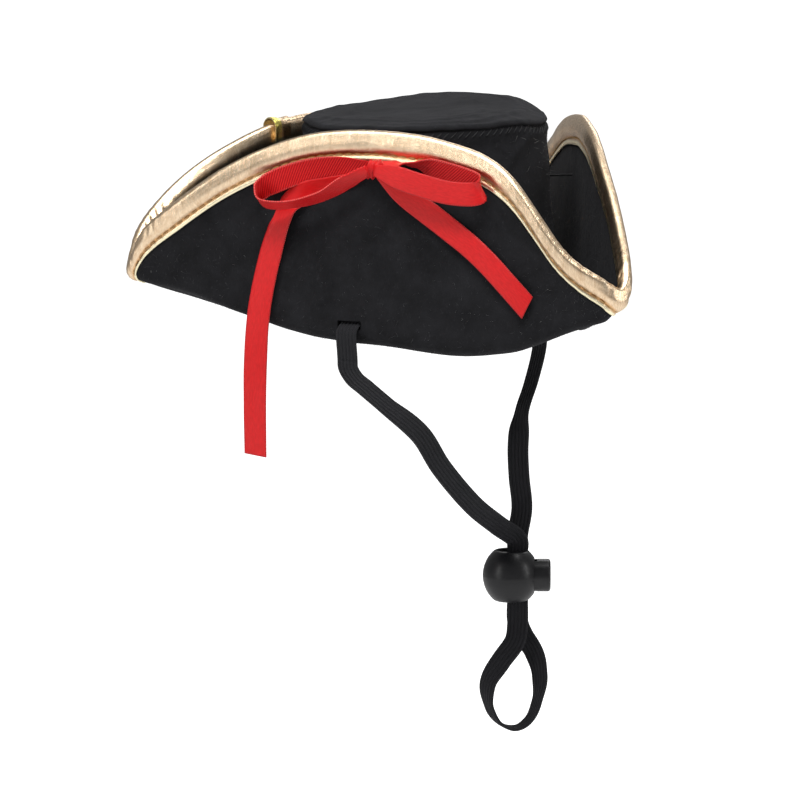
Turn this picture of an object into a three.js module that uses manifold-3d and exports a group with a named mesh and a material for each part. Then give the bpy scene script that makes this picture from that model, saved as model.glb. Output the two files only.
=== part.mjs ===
// A small felt tricorn: crown, turned-up brim with a bound edge, ribbon bow, and a chin elastic with a
// ball cord lock. Millimetres, +Z up. The origin is where the hat sits on the head, on the crown's axis.
// The front corner points to -Y, and the wearer's right is -X.
import * as THREE from "three";
import { mergeVertices } from "three/addons/utils/BufferGeometryUtils.js";
import Module from "manifold-3d";

// ---------- driving dimensions ----------
const GAP = 0.3; // air left between solids that touch on the real hat
const FELT = 1.8; // thickness of the felt
const THREAD = 0.5; // diameter of the sewing thread

const HEAD_RADIUS = 41; // middle of the felt where crown and brim meet
const HEAD_HEIGHT = 3.5; // height of that seam
const CROWN_RADIUS = 36; // outside of the crown at the top
const CROWN_TOP = 67.4; // upper face of the crown

const FLAP_DISTANCE = 46.5; // from the axis to a flap, where it leaves the fold
const CORNER_RADIUS = 5; // of the turn at a corner, seen from above
const FOLD_RADIUS = 3.4; // of the fold between gutter and flap
const FLAPS = [
  // turn of the flap's outward direction about Z, height of its edge, how far the edge leans in over
  // the fold at the flap's centre and swings out on the way to a corner, and the two ends it runs to
  { name: "right", turn: -150, height: 64.8, lean: 2.5, flare: 5, plus: "front", minus: "rear" },
  { name: "left", turn: -30, height: 63, lean: -1.5, flare: 1, plus: "rearLeft", minus: "frontLeft" },
  { name: "back", turn: 90, height: 61.5, lean: 2.5, flare: 5, plus: "rear", minus: "rear" },
];
// Heights on the way from a flap's centre to a corner, at equal steps: of the fold, and of the edge as a
// share of the flap's height.
const FOLD_HEIGHTS = {
  front: [3, 1.6, 3, 11, 16],
  frontLeft: [3, 3.5, 9.5, 15, 16.5],
  rear: [3, 5, 10.5, 17, 19],
  rearLeft: [3, 5, 10.5, 17, 19],
};
const EDGE_SHARES = {
  front: [1, 0.97, 0.85, 0.46, 0.33],
  frontLeft: [1, 0.94, 0.75, 0.52, 0.34],
  rear: [1, 0.965, 0.83, 0.6, 0.36],
  rearLeft: [1, 0.95, 0.82, 0.65, 0.36],
};
const STEPS_PER_HALF = 10; // columns from a flap's centre to a corner
const CORNER_SHARE = 0.16; // share of those steps that goes round the corner
const FLAP_ROWS = 5; // from the fold to the edge

const BINDING_DEPTH = 7.6; // how far the gold strip reaches over the felt on each side
const BINDING_CLOTH = 0.5; // its thickness, turned under
const BINDING_EASE = 0.4; // air between the strip and the felt
const STITCH_DEPTH = 5.4; // from the edge to the stitch line
const LAP_COLUMN = 2; // columns from the back flap's centre to the binding's lap

const RIBBON_WIDTH = 7;
const RIBBON_CLOTH = 0.5;
const BOW_HEIGHT = 56; // of the knot
const KNOT = { out: 2.4, along: 2.7, up: 2.9 }; // half its size in each direction
const KNOT_PLACE = 1.5; // of the knot along the flap, towards the front corner
const ELASTIC_WIDTH = 6.4;
const ELASTIC_CLOTH = 1.2;

const SLIT_EASE = 0.9; // how much the slits in the brim gape
const TAB_STAND = 3.8; // of the right tab's sewn end behind the slit's middle
const TAB_TOP = 17; // height of both sewn ends
const TAB_TACK = 14; // height of the threads that hold them
const SWING_HEIGHT = 8; // of the line that the chin strap swings about
const RIGHT_EXIT = new THREE.Vector3(-44.6, -18, SWING_HEIGHT);
const LEFT_EXIT = new THREE.Vector3(48.9, 3.4, SWING_HEIGHT);

const LOCK_OFFSET = 33; // of the lock from the middle of the strap, along the strap
const LOCK_HEIGHT = -77.9; // of the ball's centre
const LOCK_TURN = -40; // the elastic's flat, and with it the lock, is turned this far about Z
const BALL_RADIUS = 8.6;
const BALL_HEIGHT = 15.4; // over its flat top and bottom
const PASSAGE_OFFSET = 2; // the elastic's slot sits this far towards the button
const PASSAGE = { width: 7.4, depth: 3.8 };
const PLUNGER_RADIUS = 5;
const PLUNGER_REACH = 12; // from the ball's centre to the button's face
const PLUNGER_TRAVEL = 2.4;
const PLUNGER_WALL = 1.2; // behind the elastic's slot
const SPRING = { radius: 2.4, wire: 0.4, turns: 3 };

const X = new THREE.Vector3(1, 0, 0);
const Z = new THREE.Vector3(0, 0, 1);
const radians = THREE.MathUtils.degToRad;

// ---------- materials ----------
const finish = (color, roughness, metalness = 0) =>
  new THREE.MeshStandardMaterial({ color, roughness, metalness });
const felt = finish(0x1d1d20, 0.95);
const gold = finish(0xd9ba8c, 0.35, 0.7);
const goldThread = finish(0xb98a4e, 0.7);
const blackThread = finish(0x151517, 0.8);
const satin = finish(0xc8161c, 0.4);
const elastic = finish(0x202024, 0.85);
const plastic = finish(0x1c1c1f, 0.35);
const steel = finish(0xb0b2b6, 0.3, 1);

const hat = new THREE.Group();
function add(name, geometry, material, parent = hat) {
  const mesh = new THREE.Mesh(geometry, material);
  mesh.name = name;
  parent.add(mesh);
  return mesh;
}

// ---------- geometry helpers ----------
function fan(count) {
  const triangles = [];
  for (let k = 1; k < count - 1; k++) {
    triangles.push(0, k + 1, k);
  }
  return triangles;
}

// A closed solid through rings of points. The rings either meet end to end or are capped, by a fan
// or by the triangles given for the first ring.
function loft(rings, closed = false, cap = fan(rings[0].length)) {
  const count = rings[0].length;
  const index = [];
  const spans = closed ? rings.length : rings.length - 1;
  for (let i = 0; i < spans; i++) {
    const here = i * count;
    const there = ((i + 1) % rings.length) * count;
    for (let k = 0; k < count; k++) {
      const next = (k + 1) % count;
      index.push(here + k, here + next, there + next, here + k, there + next, there + k);
    }
  }
  if (!closed) {
    const last = (rings.length - 1) * count;
    index.push(...cap, ...cap.toReversed().map((k) => last + k));
  }
  return facingOut(rings.flat(), index);
}

// The geometry of a closed surface, with its faces turned out whichever way round they were listed.
function facingOut(points, index) {
  let volume = 0;
  const cross = new THREE.Vector3();
  for (let i = 0; i < index.length; i += 3) {
    cross.crossVectors(points[index[i + 1]], points[index[i + 2]]);
    volume += points[index[i]].dot(cross);
  }
  if (volume < 0) {
    index.reverse();
  }
  return new THREE.BufferGeometry().setFromPoints(points).setIndex(index);
}

// A flat strip of cloth along a smooth route. face[i] is the way its flat looks at route[i].
function strip(route, face, width, cloth, steps) {
  const path = new THREE.CatmullRomCurve3(route, false, "centripetal");
  const looks = new THREE.CatmullRomCurve3(face);
  const rings = [];
  for (let i = 0; i <= steps; i++) {
    const along = path.getTangent(i / steps);
    const side = new THREE.Vector3().crossVectors(along, looks.getPoint(i / steps)).normalize();
    const out = new THREE.Vector3().crossVectors(side, along).normalize();
    const centre = path.getPoint(i / steps);
    rings.push(
      [[-1, -0.5], [-0.9, -1], [0.9, -1], [1, -0.5], [1, 0.5], [0.9, 1], [-0.9, 1], [-1, 0.5]].map(
        ([a, b]) =>
          centre
            .clone()
            .addScaledVector(side, (a * width) / 2)
            .addScaledVector(out, (b * cloth) / 2),
      ),
    );
  }
  return loft(rings);
}

// A round thread along a smooth route.
function thread(route, diameter, steps) {
  const section = new THREE.Shape();
  section.absarc(0, 0, diameter / 2, 0, 2 * Math.PI);
  return new THREE.ExtrudeGeometry(section, {
    steps,
    curveSegments: 6,
    extrudePath: new THREE.CatmullRomCurve3(route),
  });
}

// A ring turned about Z from a closed profile of [radius, height] points, listed anticlockwise.
const turned = (profile, segments = 48) =>
  new THREE.LatheGeometry(
    [...profile, profile[0]].map(([r, z]) => new THREE.Vector2(r, z)),
    segments,
  ).rotateX(Math.PI / 2);

const wasm = await Module();
wasm.setup();
function solid(geometry) {
  const bare = geometry.index ? geometry.toNonIndexed() : geometry.clone();
  bare.deleteAttribute("normal");
  bare.deleteAttribute("uv");
  const merged = mergeVertices(bare, 1e-3);
  return new wasm.Manifold(
    new wasm.Mesh({
      numProp: 3,
      vertProperties: merged.attributes.position.array,
      triVerts: new Uint32Array(merged.index.array),
    }),
  );
}
function geometryOf(manifold) {
  const mesh = manifold.getMesh();
  return new THREE.BufferGeometry()
    .setAttribute("position", new THREE.BufferAttribute(mesh.vertProperties, 3))
    .setIndex(new THREE.BufferAttribute(mesh.triVerts, 1));
}
const cut = (geometry, ...tools) =>
  geometryOf(tools.reduce((left, tool) => left.subtract(solid(tool)), solid(geometry)));

// Value at share 0..1 of a list of heights at equal steps, on a smooth curve.
function along(heights, share) {
  const points = heights.map((h, i) => new THREE.Vector2(i, h));
  return new THREE.SplineCurve(points).getPoint(share).y;
}

// ---------- crown ----------
function buildCrown() {
  const sideTop = CROWN_TOP - FELT - GAP;
  const foot = HEAD_HEIGHT + FELT / 2 + GAP;
  const footRadius = HEAD_RADIUS - 0.4;
  add(
    "crown_side",
    turned([
      [footRadius - FELT, foot],
      [footRadius, foot],
      [CROWN_RADIUS + 0.7, sideTop - 12],
      [CROWN_RADIUS, sideTop],
      [CROWN_RADIUS - FELT, sideTop],
      [CROWN_RADIUS + 0.7 - FELT, sideTop - 12],
    ]),
    felt,
  );

  const under = CROWN_TOP - FELT;
  add(
    "crown_tip",
    turned([
      [0, under],
      [CROWN_RADIUS - 0.2, under],
      [CROWN_RADIUS + 0.3, under + FELT / 2],
      [CROWN_RADIUS - 0.6, CROWN_TOP - 0.4],
      [CROWN_RADIUS - 2, CROWN_TOP],
      [0, CROWN_TOP],
    ]),
    felt,
  );

  const seamRing = new THREE.TorusGeometry(CROWN_RADIUS + THREAD / 2 + GAP, THREAD / 2, 5, 48);
  add("crown_tip_seam", seamRing, blackThread).position.z = sideTop - THREAD / 2;

  const behind = (radius, z) => new THREE.Vector3(0, radius + THREAD / 2 + GAP, z);
  const backSeam = [
    behind(footRadius, foot + 1),
    behind(CROWN_RADIUS + 0.8, sideTop - 12),
    behind(CROWN_RADIUS + 0.1, sideTop - 1.5),
  ];
  add("crown_back_seam", thread(backSeam, THREAD, 12), blackThread);
}

// ---------- brim ----------
// Plan of a rounded triangle's half side, at share s from the flap's centre to the corner:
// t runs along the side, d away from the axis, and (nt, nd) is the way out.
function halfSide(distance, radius, s) {
  const straight = (distance - radius) * Math.sqrt(3);
  if (s < 1 - CORNER_SHARE) {
    return { t: (straight * s) / (1 - CORNER_SHARE), d: distance, nt: 0, nd: 1 };
  }
  const turn = ((s - 1 + CORNER_SHARE) / CORNER_SHARE) * (Math.PI / 3);
  return {
    t: straight + radius * Math.sin(turn),
    d: distance - radius + radius * Math.cos(turn),
    nt: Math.sin(turn),
    nd: Math.cos(turn),
  };
}

// The middle of the felt along one column of the brim, from the head opening to the edge.
// side is +1 towards the flap's "plus" corner and -1 towards its "minus" corner.
function column(flap, side, s) {
  const end = side > 0 ? flap.plus : flap.minus;
  const foldHeight = along(FOLD_HEIGHTS[end], s);
  const edgeHeight = flap.height * along(EDGE_SHARES[end], s);
  const base = halfSide(FLAP_DISTANCE, CORNER_RADIUS, s);
  const out = new THREE.Vector3(base.nd, side * base.nt, 0);
  const wall = new THREE.Vector3(base.d, side * base.t, foldHeight);
  const seam = new THREE.Vector3(HEAD_RADIUS, 0, HEAD_HEIGHT).applyAxisAngle(
    Z,
    side * s * (Math.PI / 3),
  );
  const fold = Math.min(FOLD_RADIUS, (edgeHeight - foldHeight) / 2);
  const foldEnd = wall.clone().addScaledVector(out, -fold);
  const points = [];
  for (const share of [0, 1 / 3, 2 / 3]) {
    points.push(seam.clone().lerp(foldEnd, share));
  }
  for (const angle of [0, 45, 90]) {
    points.push(
      wall
        .clone()
        .addScaledVector(out, fold * (Math.sin(radians(angle)) - 1))
        .addScaledVector(Z, fold * (1 - Math.cos(radians(angle)))),
    );
  }
  const lean = flap.lean * (1 - s);
  const flare = flap.flare * Math.sin(Math.PI * Math.min(1, s * s * 1.15)) ** 2;
  const start = foldHeight + fold;
  for (let row = 1; row <= FLAP_ROWS; row++) {
    const share = row / FLAP_ROWS;
    points.push(
      wall
        .clone()
        .setZ(start + (edgeHeight - start) * share)
        .addScaledVector(out, -lean * share + flare * share * share),
    );
  }
  return points.map((p) => p.applyAxisAngle(Z, radians(flap.turn)));
}

// All columns in order round the brim.
function brimColumns() {
  const columns = [];
  const round = ["right", "left", "back"].map((name) => FLAPS.find((f) => f.name === name));
  for (const flap of round) {
    for (let i = -STEPS_PER_HALF; i < STEPS_PER_HALF; i++) {
      columns.push(column(flap, Math.sign(i) || 1, Math.abs(i) / STEPS_PER_HALF));
    }
  }
  return columns;
}

// The felt's outward direction at each point of the columns.
function outwardDirections(columns) {
  return columns.map((points, c) =>
    points.map((_, r) => {
      const next = columns[(c + 1) % columns.length][r];
      const last = columns[(c + columns.length - 1) % columns.length][r];
      const round = next.clone().sub(last);
      const up = points[Math.min(r + 1, points.length - 1)]
        .clone()
        .sub(points[Math.max(r - 1, 0)]);
      return round.cross(up).normalize();
    }),
  );
}

// How far down a column's edge is straight enough to be bound: to the top of the fold at the most.
function boundDepth(points) {
  const fold = points.at(-1 - FLAP_ROWS);
  return Math.min(BINDING_DEPTH, points.at(-1).distanceTo(fold));
}

// Point and outward direction at a distance down from a column's edge.
function belowEdge(points, outs, distance) {
  let left = distance;
  for (let r = points.length - 1; r > 0; r--) {
    const length = points[r].distanceTo(points[r - 1]);
    if (left <= length) {
      return {
        point: points[r].clone().lerp(points[r - 1], left / length),
        out: outs[r].clone().lerp(outs[r - 1], left / length),
      };
    }
    left -= length;
  }
  return { point: points[0].clone(), out: outs[0].clone() };
}

function buildBrim(columns, outs) {
  const rings = columns.map((points, c) => {
    const face = (way) =>
      points.map((p, r) => p.clone().addScaledVector(outs[c][r], (way * FELT) / 2));
    return [...face(-1), ...face(1).reverse()];
  });
  const slit = (exit, facing, drop) =>
    new THREE.BoxGeometry(9, ELASTIC_WIDTH + 2 * GAP + SLIT_EASE, ELASTIC_CLOTH + 2 * GAP + SLIT_EASE)
      .rotateY(radians(drop))
      .rotateZ(radians(facing))
      .translate(exit.x, exit.y, exit.z);
  const felted = cut(
    loft(rings, true),
    slit(RIGHT_EXIT, FLAPS[0].turn, 0),
    slit(LEFT_EXIT, 0, 90),
    bowTack(0.5 + GAP, 2 * FELT + 2),
  );
  add("brim", felted, felt);

  const seamInset = 2.8; // puts the ring of stitches just inside the crown's foot
  const seamRing = new THREE.TorusGeometry(HEAD_RADIUS - seamInset, THREAD / 2, 5, 48);
  add("brim_seam", seamRing, blackThread).position.z = HEAD_HEIGHT;
}

// The gold strip folded over the edge: its section is a U, closed on itself.
function buildBinding(columns, outs) {
  const inner = FELT / 2 + BINDING_EASE;
  const outer = inner + BINDING_CLOTH;
  const rings = columns.map((points, c) => {
    const at = (depth, offset) => {
      const { point, out } = belowEdge(points, outs[c], depth);
      return point.addScaledVector(out, offset);
    };
    const top = points.at(-1);
    const up = top.clone().sub(points.at(-2)).normalize();
    const over = (offset, rise) => at(0, offset).addScaledVector(up, rise);
    const deep = boundDepth(points);
    const leg = (offset) => [deep, deep / 2, 0].map((depth) => at(depth, offset));
    return [
      ...leg(outer),
      over(0.5 * outer, outer),
      over(-0.5 * outer, outer),
      ...leg(-outer).reverse(),
      ...leg(-inner),
      over(-0.5 * inner, GAP),
      over(0.5 * inner, GAP),
      ...leg(inner).reverse(),
    ];
  });
  add("brim_binding", loft(rings, true), gold);

  const stitchRing = (way) =>
    columns.map((points, c) => {
      const depth = (boundDepth(points) * STITCH_DEPTH) / BINDING_DEPTH;
      const { point, out } = belowEdge(points, outs[c], depth);
      const centre = point.addScaledVector(out, way * (outer + GAP + THREAD / 2));
      const down = points.at(-2).clone().sub(points.at(-1)).normalize();
      return [0, 90, 180, 270].map((a) =>
        centre
          .clone()
          .addScaledVector(out, (THREAD / 2) * Math.cos(radians(a)))
          .addScaledVector(down, (-THREAD / 2) * Math.sin(radians(a))),
      );
    });
  add("binding_needle_thread", loft(stitchRing(1), true), goldThread);
  add("binding_bobbin_thread", loft(stitchRing(-1), true), goldThread);
}

// The binding's end, lapped over its start on the back flap, between two columns.
function buildBindingEnd(columns, outs) {
  const reach = FELT / 2 + BINDING_EASE + BINDING_CLOTH + GAP;
  const outer = reach + BINDING_CLOTH;
  const foot = STITCH_DEPTH - THREAD - 0.6;
  const start = columns.length - STEPS_PER_HALF + LAP_COLUMN;
  const [first, second] = [start, start + 1].map((c) => {
    const at = (depth, offset, rise = 0) => {
      const { point, out } = belowEdge(columns[c], outs[c], depth);
      const up = columns[c].at(-1).clone().sub(columns[c].at(-2)).normalize();
      return point.addScaledVector(out, offset).addScaledVector(up, rise);
    };
    return [
      at(foot, outer), at(0, outer), at(0, outer / 2, outer),
      at(0, -outer / 2, outer), at(0, -outer), at(foot, -outer),
      at(foot, -reach), at(0, -reach), at(0, -reach / 2, reach),
      at(0, reach / 2, reach), at(0, reach), at(foot, reach),
    ];
  });
  const rings = [0.1, 0.9].map((share) => first.map((p, k) => p.clone().lerp(second[k], share)));
  const half = first.length / 2;
  // Each ring is a U, so an end is closed by a ladder between its outer and its inner run.
  const ladder = [];
  for (let k = 0; k < half - 1; k++) {
    const [a, b, c, d] = [k, k + 1, 2 * half - 2 - k, 2 * half - 1 - k];
    ladder.push(a, c, b, a, d, c);
  }
  add("binding_end_fold", loft(rings, false, ladder), gold);
}

// A short bar of thread between the crown and each flap.
function buildTacks() {
  const height = 46;
  const aside = 4; // clear of the crown's back seam
  const radius = 0.5;
  for (const flap of FLAPS) {
    const start = CROWN_RADIUS + 0.8 + GAP;
    const end = FLAP_DISTANCE - Math.max(flap.lean, 0) - FELT / 2 - GAP;
    const bar = new THREE.CylinderGeometry(radius, radius, end - start, 8)
      .rotateZ(-Math.PI / 2)
      .translate((start + end) / 2, aside, height)
      .rotateZ(radians(flap.turn));
    add("flap_tack_" + flap.name, bar, blackThread);
  }
}

// ---------- bow ----------
const flapOut = X.clone().applyAxisAngle(Z, radians(FLAPS[0].turn));
// Places on the right flap's outer face: t towards the front corner, z up, off the felt by stand.
function onFlap(t, z, stand) {
  const straight = (FLAP_DISTANCE - CORNER_RADIUS) * Math.sqrt(3);
  const points = column(FLAPS[0], Math.sign(t) || 1, (Math.abs(t) / straight) * (1 - CORNER_SHARE));
  let upper = points.length - 1;
  while (upper > points.length - FLAP_ROWS && points[upper - 1].z > z) {
    upper--;
  }
  const [low, high] = [points[upper - 1], points[upper]];
  const share = Math.max(0, (z - low.z) / (high.z - low.z));
  return low.clone().lerp(high, share).setZ(z).addScaledVector(flapOut, FELT / 2 + stand);
}

function buildBow() {
  const knot = new THREE.SphereGeometry(1, 12, 8).scale(KNOT.out, KNOT.along, KNOT.up);
  const seat = onFlap(KNOT_PLACE, BOW_HEIGHT, KNOT.out + GAP + 0.4);
  add("bow_knot", knot.rotateZ(radians(FLAPS[0].turn)).translate(seat.x, seat.y, seat.z), satin);

  // A loop leaves the knot in front, turns at its end, and comes back behind.
  const loop = (name, way, tip) => {
    const from = KNOT_PLACE + way * (KNOT.along + 0.5);
    const at = (share, stand, lift = 0) =>
      onFlap(
        from + (tip.t - from) * share,
        BOW_HEIGHT + (tip.z - BOW_HEIGHT) * share + lift,
        stand,
      );
    const route = [
      at(0, 4.2), at(0.3, 5.6, 0.6), at(0.7, 6.4, 0.6), at(0.95, 5.4),
      at(1, 3.8), at(0.94, 2.4), at(0.6, 2), at(0.25, 2.2), at(0, 2.9),
    ];
    const side = Z.clone().cross(flapOut).multiplyScalar(-way);
    const back = flapOut.clone().negate();
    const face = [flapOut, flapOut, flapOut, flapOut.clone().add(side), side, back, back, back, back];
    add(name, strip(route, face, RIBBON_WIDTH - 1, RIBBON_CLOTH, 24), satin);
  };
  loop("bow_left_loop", 1, { t: 36, z: 49.5 });
  loop("bow_right_loop", -1, { t: -34.5, z: 48 });

  const tail = (name, places) => {
    const route = places.map(([t, z, stand]) => onFlap(t, z, stand));
    const face = places.map(() => flapOut);
    add(name, strip(route, face, RIBBON_WIDTH, RIBBON_CLOTH, 4 * places.length), satin);
  };
  tail("bow_right_tail", [
    [-3.2, 53.4, 0.9], [-13, 49.5, 0.7], [-22, 46.5, 0.7], [-27.5, 40.5, 0.8],
    [-31.5, 27, 0.9], [-34.6, 11, 1.2], [-35.6, -4, 1.2], [-36, -18, 0.8], [-36, -32, 0.6],
  ]);
  tail("bow_left_tail", [
    [3.4, 52.8, 0.9], [11, 47.3, 0.8], [25, 38.2, 0.8], [36, 30, 0.9], [49.5, 17, 1.4],
  ]);

  add("bow_tack", bowTack(0.5, FELT + 1.4), blackThread);
}

// The stitches that hold the knot, straight through the felt behind it.
function bowTack(radius, length) {
  const middle = onFlap(KNOT_PLACE, BOW_HEIGHT, -FELT / 2 - 0.5);
  return new THREE.CylinderGeometry(radius, radius, length, 8)
    .rotateZ(-Math.PI / 2)
    .rotateZ(radians(FLAPS[0].turn))
    .translate(middle.x, middle.y, middle.z);
}

// ---------- chin strap ----------
const strapMiddle = RIGHT_EXIT.clone().add(LEFT_EXIT).multiplyScalar(0.5);
const strapAlong = LEFT_EXIT.clone().sub(RIGHT_EXIT).normalize();
const onStrap = (s, z) => strapMiddle.clone().addScaledVector(strapAlong, s).setZ(z);
const lockPlace = onStrap(LOCK_OFFSET, LOCK_HEIGHT);
const lockAcross = X.clone().applyAxisAngle(Z, radians(LOCK_TURN)); // along the button's axis
const lockFront = new THREE.Vector3(0, -1, 0).applyAxisAngle(Z, radians(LOCK_TURN));
const atLock = (a, b, z) =>
  lockPlace.clone().addScaledVector(lockAcross, a).addScaledVector(lockFront, b).setZ(z);

const LAYER = (ELASTIC_CLOTH + GAP) / 2; // each layer's distance from the middle of the slot
const LOCK_MOUTH = LOCK_HEIGHT + BALL_HEIGHT / 2;
const LOCK_FOOT = LOCK_HEIGHT - BALL_HEIGHT / 2;

function buildElastic() {
  const band = (name, route, face, steps) =>
    add(name, strip(route, face, ELASTIC_WIDTH, ELASTIC_CLOTH, steps), elastic);

  // The sewn ends: up behind the flap, out through the slit, and a little way down.
  const rightAt = (stand, z) => RIGHT_EXIT.clone().addScaledVector(flapOut, stand).setZ(z);
  const endZ = SWING_HEIGHT - 10;
  band(
    "elastic_right_end",
    [
      rightAt(-TAB_STAND, TAB_TOP), rightAt(-3.6, 12), rightAt(-3, 9), rightAt(-0.2, SWING_HEIGHT),
      rightAt(1.9, 6.6), rightAt(1.9, 3.4), rightAt(1.3, 0.6), rightAt(0.9, endZ),
    ],
    [
      flapOut, flapOut.clone().addScaledVector(Z, 0.4), flapOut.clone().addScaledVector(Z, 1.6),
      Z, flapOut.clone().addScaledVector(Z, 0.6), flapOut, flapOut, flapOut,
    ],
    20,
  );
  const leftOut = X;
  const leftAt = (stand, z) => LEFT_EXIT.clone().addScaledVector(leftOut, stand).setZ(z);
  band(
    "elastic_left_end",
    [leftAt(0, TAB_TOP), leftAt(0, SWING_HEIGHT), leftAt(0, endZ)],
    [leftOut, leftOut, leftOut],
    6,
  );

  const front = lockFront;
  const behind = lockFront.clone().negate();
  band(
    "elastic_right_run",
    [
      rightAt(0.9, endZ - GAP), rightAt(0.6, endZ - 2), onStrap(-45.5, -7.5), onStrap(-39.5, -11.5),
      onStrap(-31, -17), onStrap(-12.5, -29), onStrap(-2.5, -40), onStrap(14, -54), onStrap(26, -61.5),
      atLock(PASSAGE_OFFSET, LAYER, LOCK_MOUTH + 3), atLock(PASSAGE_OFFSET, LAYER, LOCK_MOUTH + GAP),
    ],
    [flapOut, flapOut, flapOut, flapOut, flapOut, front, front, front, front, front, front],
    34,
  );
  band(
    "elastic_left_run",
    [
      leftAt(0, endZ - GAP), onStrap(47.2, -10), onStrap(43, -20), onStrap(38.5, -28),
      onStrap(36.5, -38), onStrap(37, -48), onStrap(38.5, -58),
      atLock(PASSAGE_OFFSET, -LAYER - 1.5, LOCK_MOUTH + 4),
      atLock(PASSAGE_OFFSET, -LAYER, LOCK_MOUTH + GAP),
    ],
    [leftOut, leftOut, leftOut, leftOut, behind, behind, behind, behind, behind],
    28,
  );

  // Down through the lock in front, round the loop, and back up behind. Out is the loop's outside.
  const P = PASSAGE_OFFSET;
  const turnedTo = (a, b, z) =>
    lockAcross.clone().multiplyScalar(a).addScaledVector(lockFront, b).addScaledVector(Z, z);
  band(
    "elastic_loop",
    [
      atLock(P, LAYER, LOCK_MOUTH), atLock(P, LAYER, LOCK_FOOT), atLock(P, LAYER, -93),
      atLock(1.2, 1.4, -98), atLock(-3, 2, -104), atLock(-7, 1.6, -111), atLock(-6.6, 1, -118.5),
      atLock(-3.4, 0.5, -123.6), atLock(1.4, 0, -125.2), atLock(5.4, -0.5, -122.8),
      atLock(8, -1, -117), atLock(8.8, -1.6, -109), atLock(7, -2, -102), atLock(3.6, -1.6, -96.5),
      atLock(P, -LAYER, -92), atLock(P, -LAYER, LOCK_FOOT), atLock(P, -LAYER, LOCK_MOUTH),
    ],
    [
      front, front, front, turnedTo(-0.1, 1, 0), turnedTo(-0.4, 1, 0), turnedTo(-0.7, 0.8, 0),
      turnedTo(-0.9, 0.4, -0.3), turnedTo(-0.5, 0.2, -1), turnedTo(0, 0, -1), turnedTo(0.5, -0.2, -1),
      turnedTo(0.9, -0.4, -0.3), turnedTo(0.7, -0.8, 0), turnedTo(0.4, -1, 0), turnedTo(0.1, -1, 0),
      behind, behind, behind,
    ],
    48,
  );
}

// The threads that hold the sewn ends, each a bar across the elastic.
function buildBarTacks() {
  const bar = () => new THREE.CylinderGeometry(THREAD / 2, THREAD / 2, ELASTIC_WIDTH - 1, 6);
  const cloth = ELASTIC_CLOTH / 2 + GAP + THREAD / 2;
  const right = add("elastic_right_bar_tack", bar(), blackThread);
  right.position.copy(RIGHT_EXIT).addScaledVector(flapOut, -TAB_STAND - cloth).setZ(TAB_TACK);
  right.rotation.z = radians(FLAPS[0].turn);
  const left = add("elastic_left_bar_tack", bar(), blackThread);
  left.position.copy(LEFT_EXIT).addScaledVector(X, -cloth).setZ(TAB_TACK);
}

// ---------- cord lock ----------
function buildLock() {
  const lock = new THREE.Group();
  lock.position.copy(lockPlace);
  lock.rotation.z = radians(LOCK_TURN);
  hat.add(lock);
  const bore = PLUNGER_RADIUS + GAP;
  const plungerEnd = PASSAGE_OFFSET - ELASTIC_WIDTH / 2 - GAP - PLUNGER_WALL;
  const boreEnd = plungerEnd - PLUNGER_TRAVEL - GAP;
  const ballWall = 1.5; // behind the spring
  const springEnd = -BALL_RADIUS + ballWall;
  const alongX = (radius, from, to, sides = 24) =>
    new THREE.CylinderGeometry(radius, radius, to - from, sides)
      .rotateZ(-Math.PI / 2)
      .translate((from + to) / 2, 0, 0);

  const half = BALL_HEIGHT / 2;
  const flat = Math.sqrt(BALL_RADIUS ** 2 - half ** 2) + 1.2;
  const profile = [[0, -half], [flat, -half]];
  for (const angle of [-48, -32, -16, 0, 16, 32, 48]) {
    const a = radians(angle);
    profile.push([BALL_RADIUS * Math.cos(a), BALL_RADIUS * Math.sin(a)]);
  }
  profile.push([flat, half], [0, half]);
  const ball = turned(profile, 28);
  const passage = new THREE.BoxGeometry(PASSAGE.width, PASSAGE.depth, 4 * BALL_RADIUS);
  const body = cut(
    ball,
    passage.translate(PASSAGE_OFFSET, 0, 0),
    alongX(bore, boreEnd, 2 * BALL_RADIUS),
    alongX(SPRING.radius + SPRING.wire + GAP, springEnd, 0, 16),
  );
  add("lock_body", body, plastic, lock);

  const rim = 0.8;
  const outline = [
    [0, plungerEnd],
    [PLUNGER_RADIUS, plungerEnd],
    [PLUNGER_RADIUS, PLUNGER_REACH - rim],
    [PLUNGER_RADIUS - rim, PLUNGER_REACH],
    [0, PLUNGER_REACH],
  ];
  const stem = turned(outline, 24).rotateY(Math.PI / 2);
  const slotStart = plungerEnd + PLUNGER_WALL;
  const slotEnd = PASSAGE_OFFSET + ELASTIC_WIDTH / 2 + GAP + PLUNGER_TRAVEL;
  const slot = new THREE.BoxGeometry(slotEnd - slotStart, PASSAGE.depth, 4 * PLUNGER_RADIUS);
  const plunger = cut(stem, slot.translate((slotStart + slotEnd) / 2, 0, 0));
  add("lock_plunger", plunger, plastic, lock);

  const coil = [];
  const turnsSteps = 8;
  const from = springEnd + GAP + SPRING.wire / 2;
  const to = plungerEnd - GAP - SPRING.wire / 2;
  for (let i = 0; i <= SPRING.turns * turnsSteps; i++) {
    const angle = (2 * Math.PI * i) / turnsSteps;
    coil.push(
      new THREE.Vector3(
        from + ((to - from) * i) / (SPRING.turns * turnsSteps),
        SPRING.radius * Math.cos(angle),
        SPRING.radius * Math.sin(angle),
      ),
    );
  }
  add("lock_spring", thread(coil, SPRING.wire, 36), steel, lock);
}

// ---------- assembly ----------
buildCrown();
const columns = brimColumns();
const outs = outwardDirections(columns);
buildBrim(columns, outs);
buildBinding(columns, outs);
buildBindingEnd(columns, outs);
buildTacks();
buildBow();
buildElastic();
buildBarTacks();
buildLock();

export default hat;
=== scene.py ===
"""A small felt pirate hat with a gold binding, a satin bow and an elastic chin strap with a cord lock.
Everything is in metres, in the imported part's own frame: +Z up, the front corner towards -Y."""
import math
import random

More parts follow.
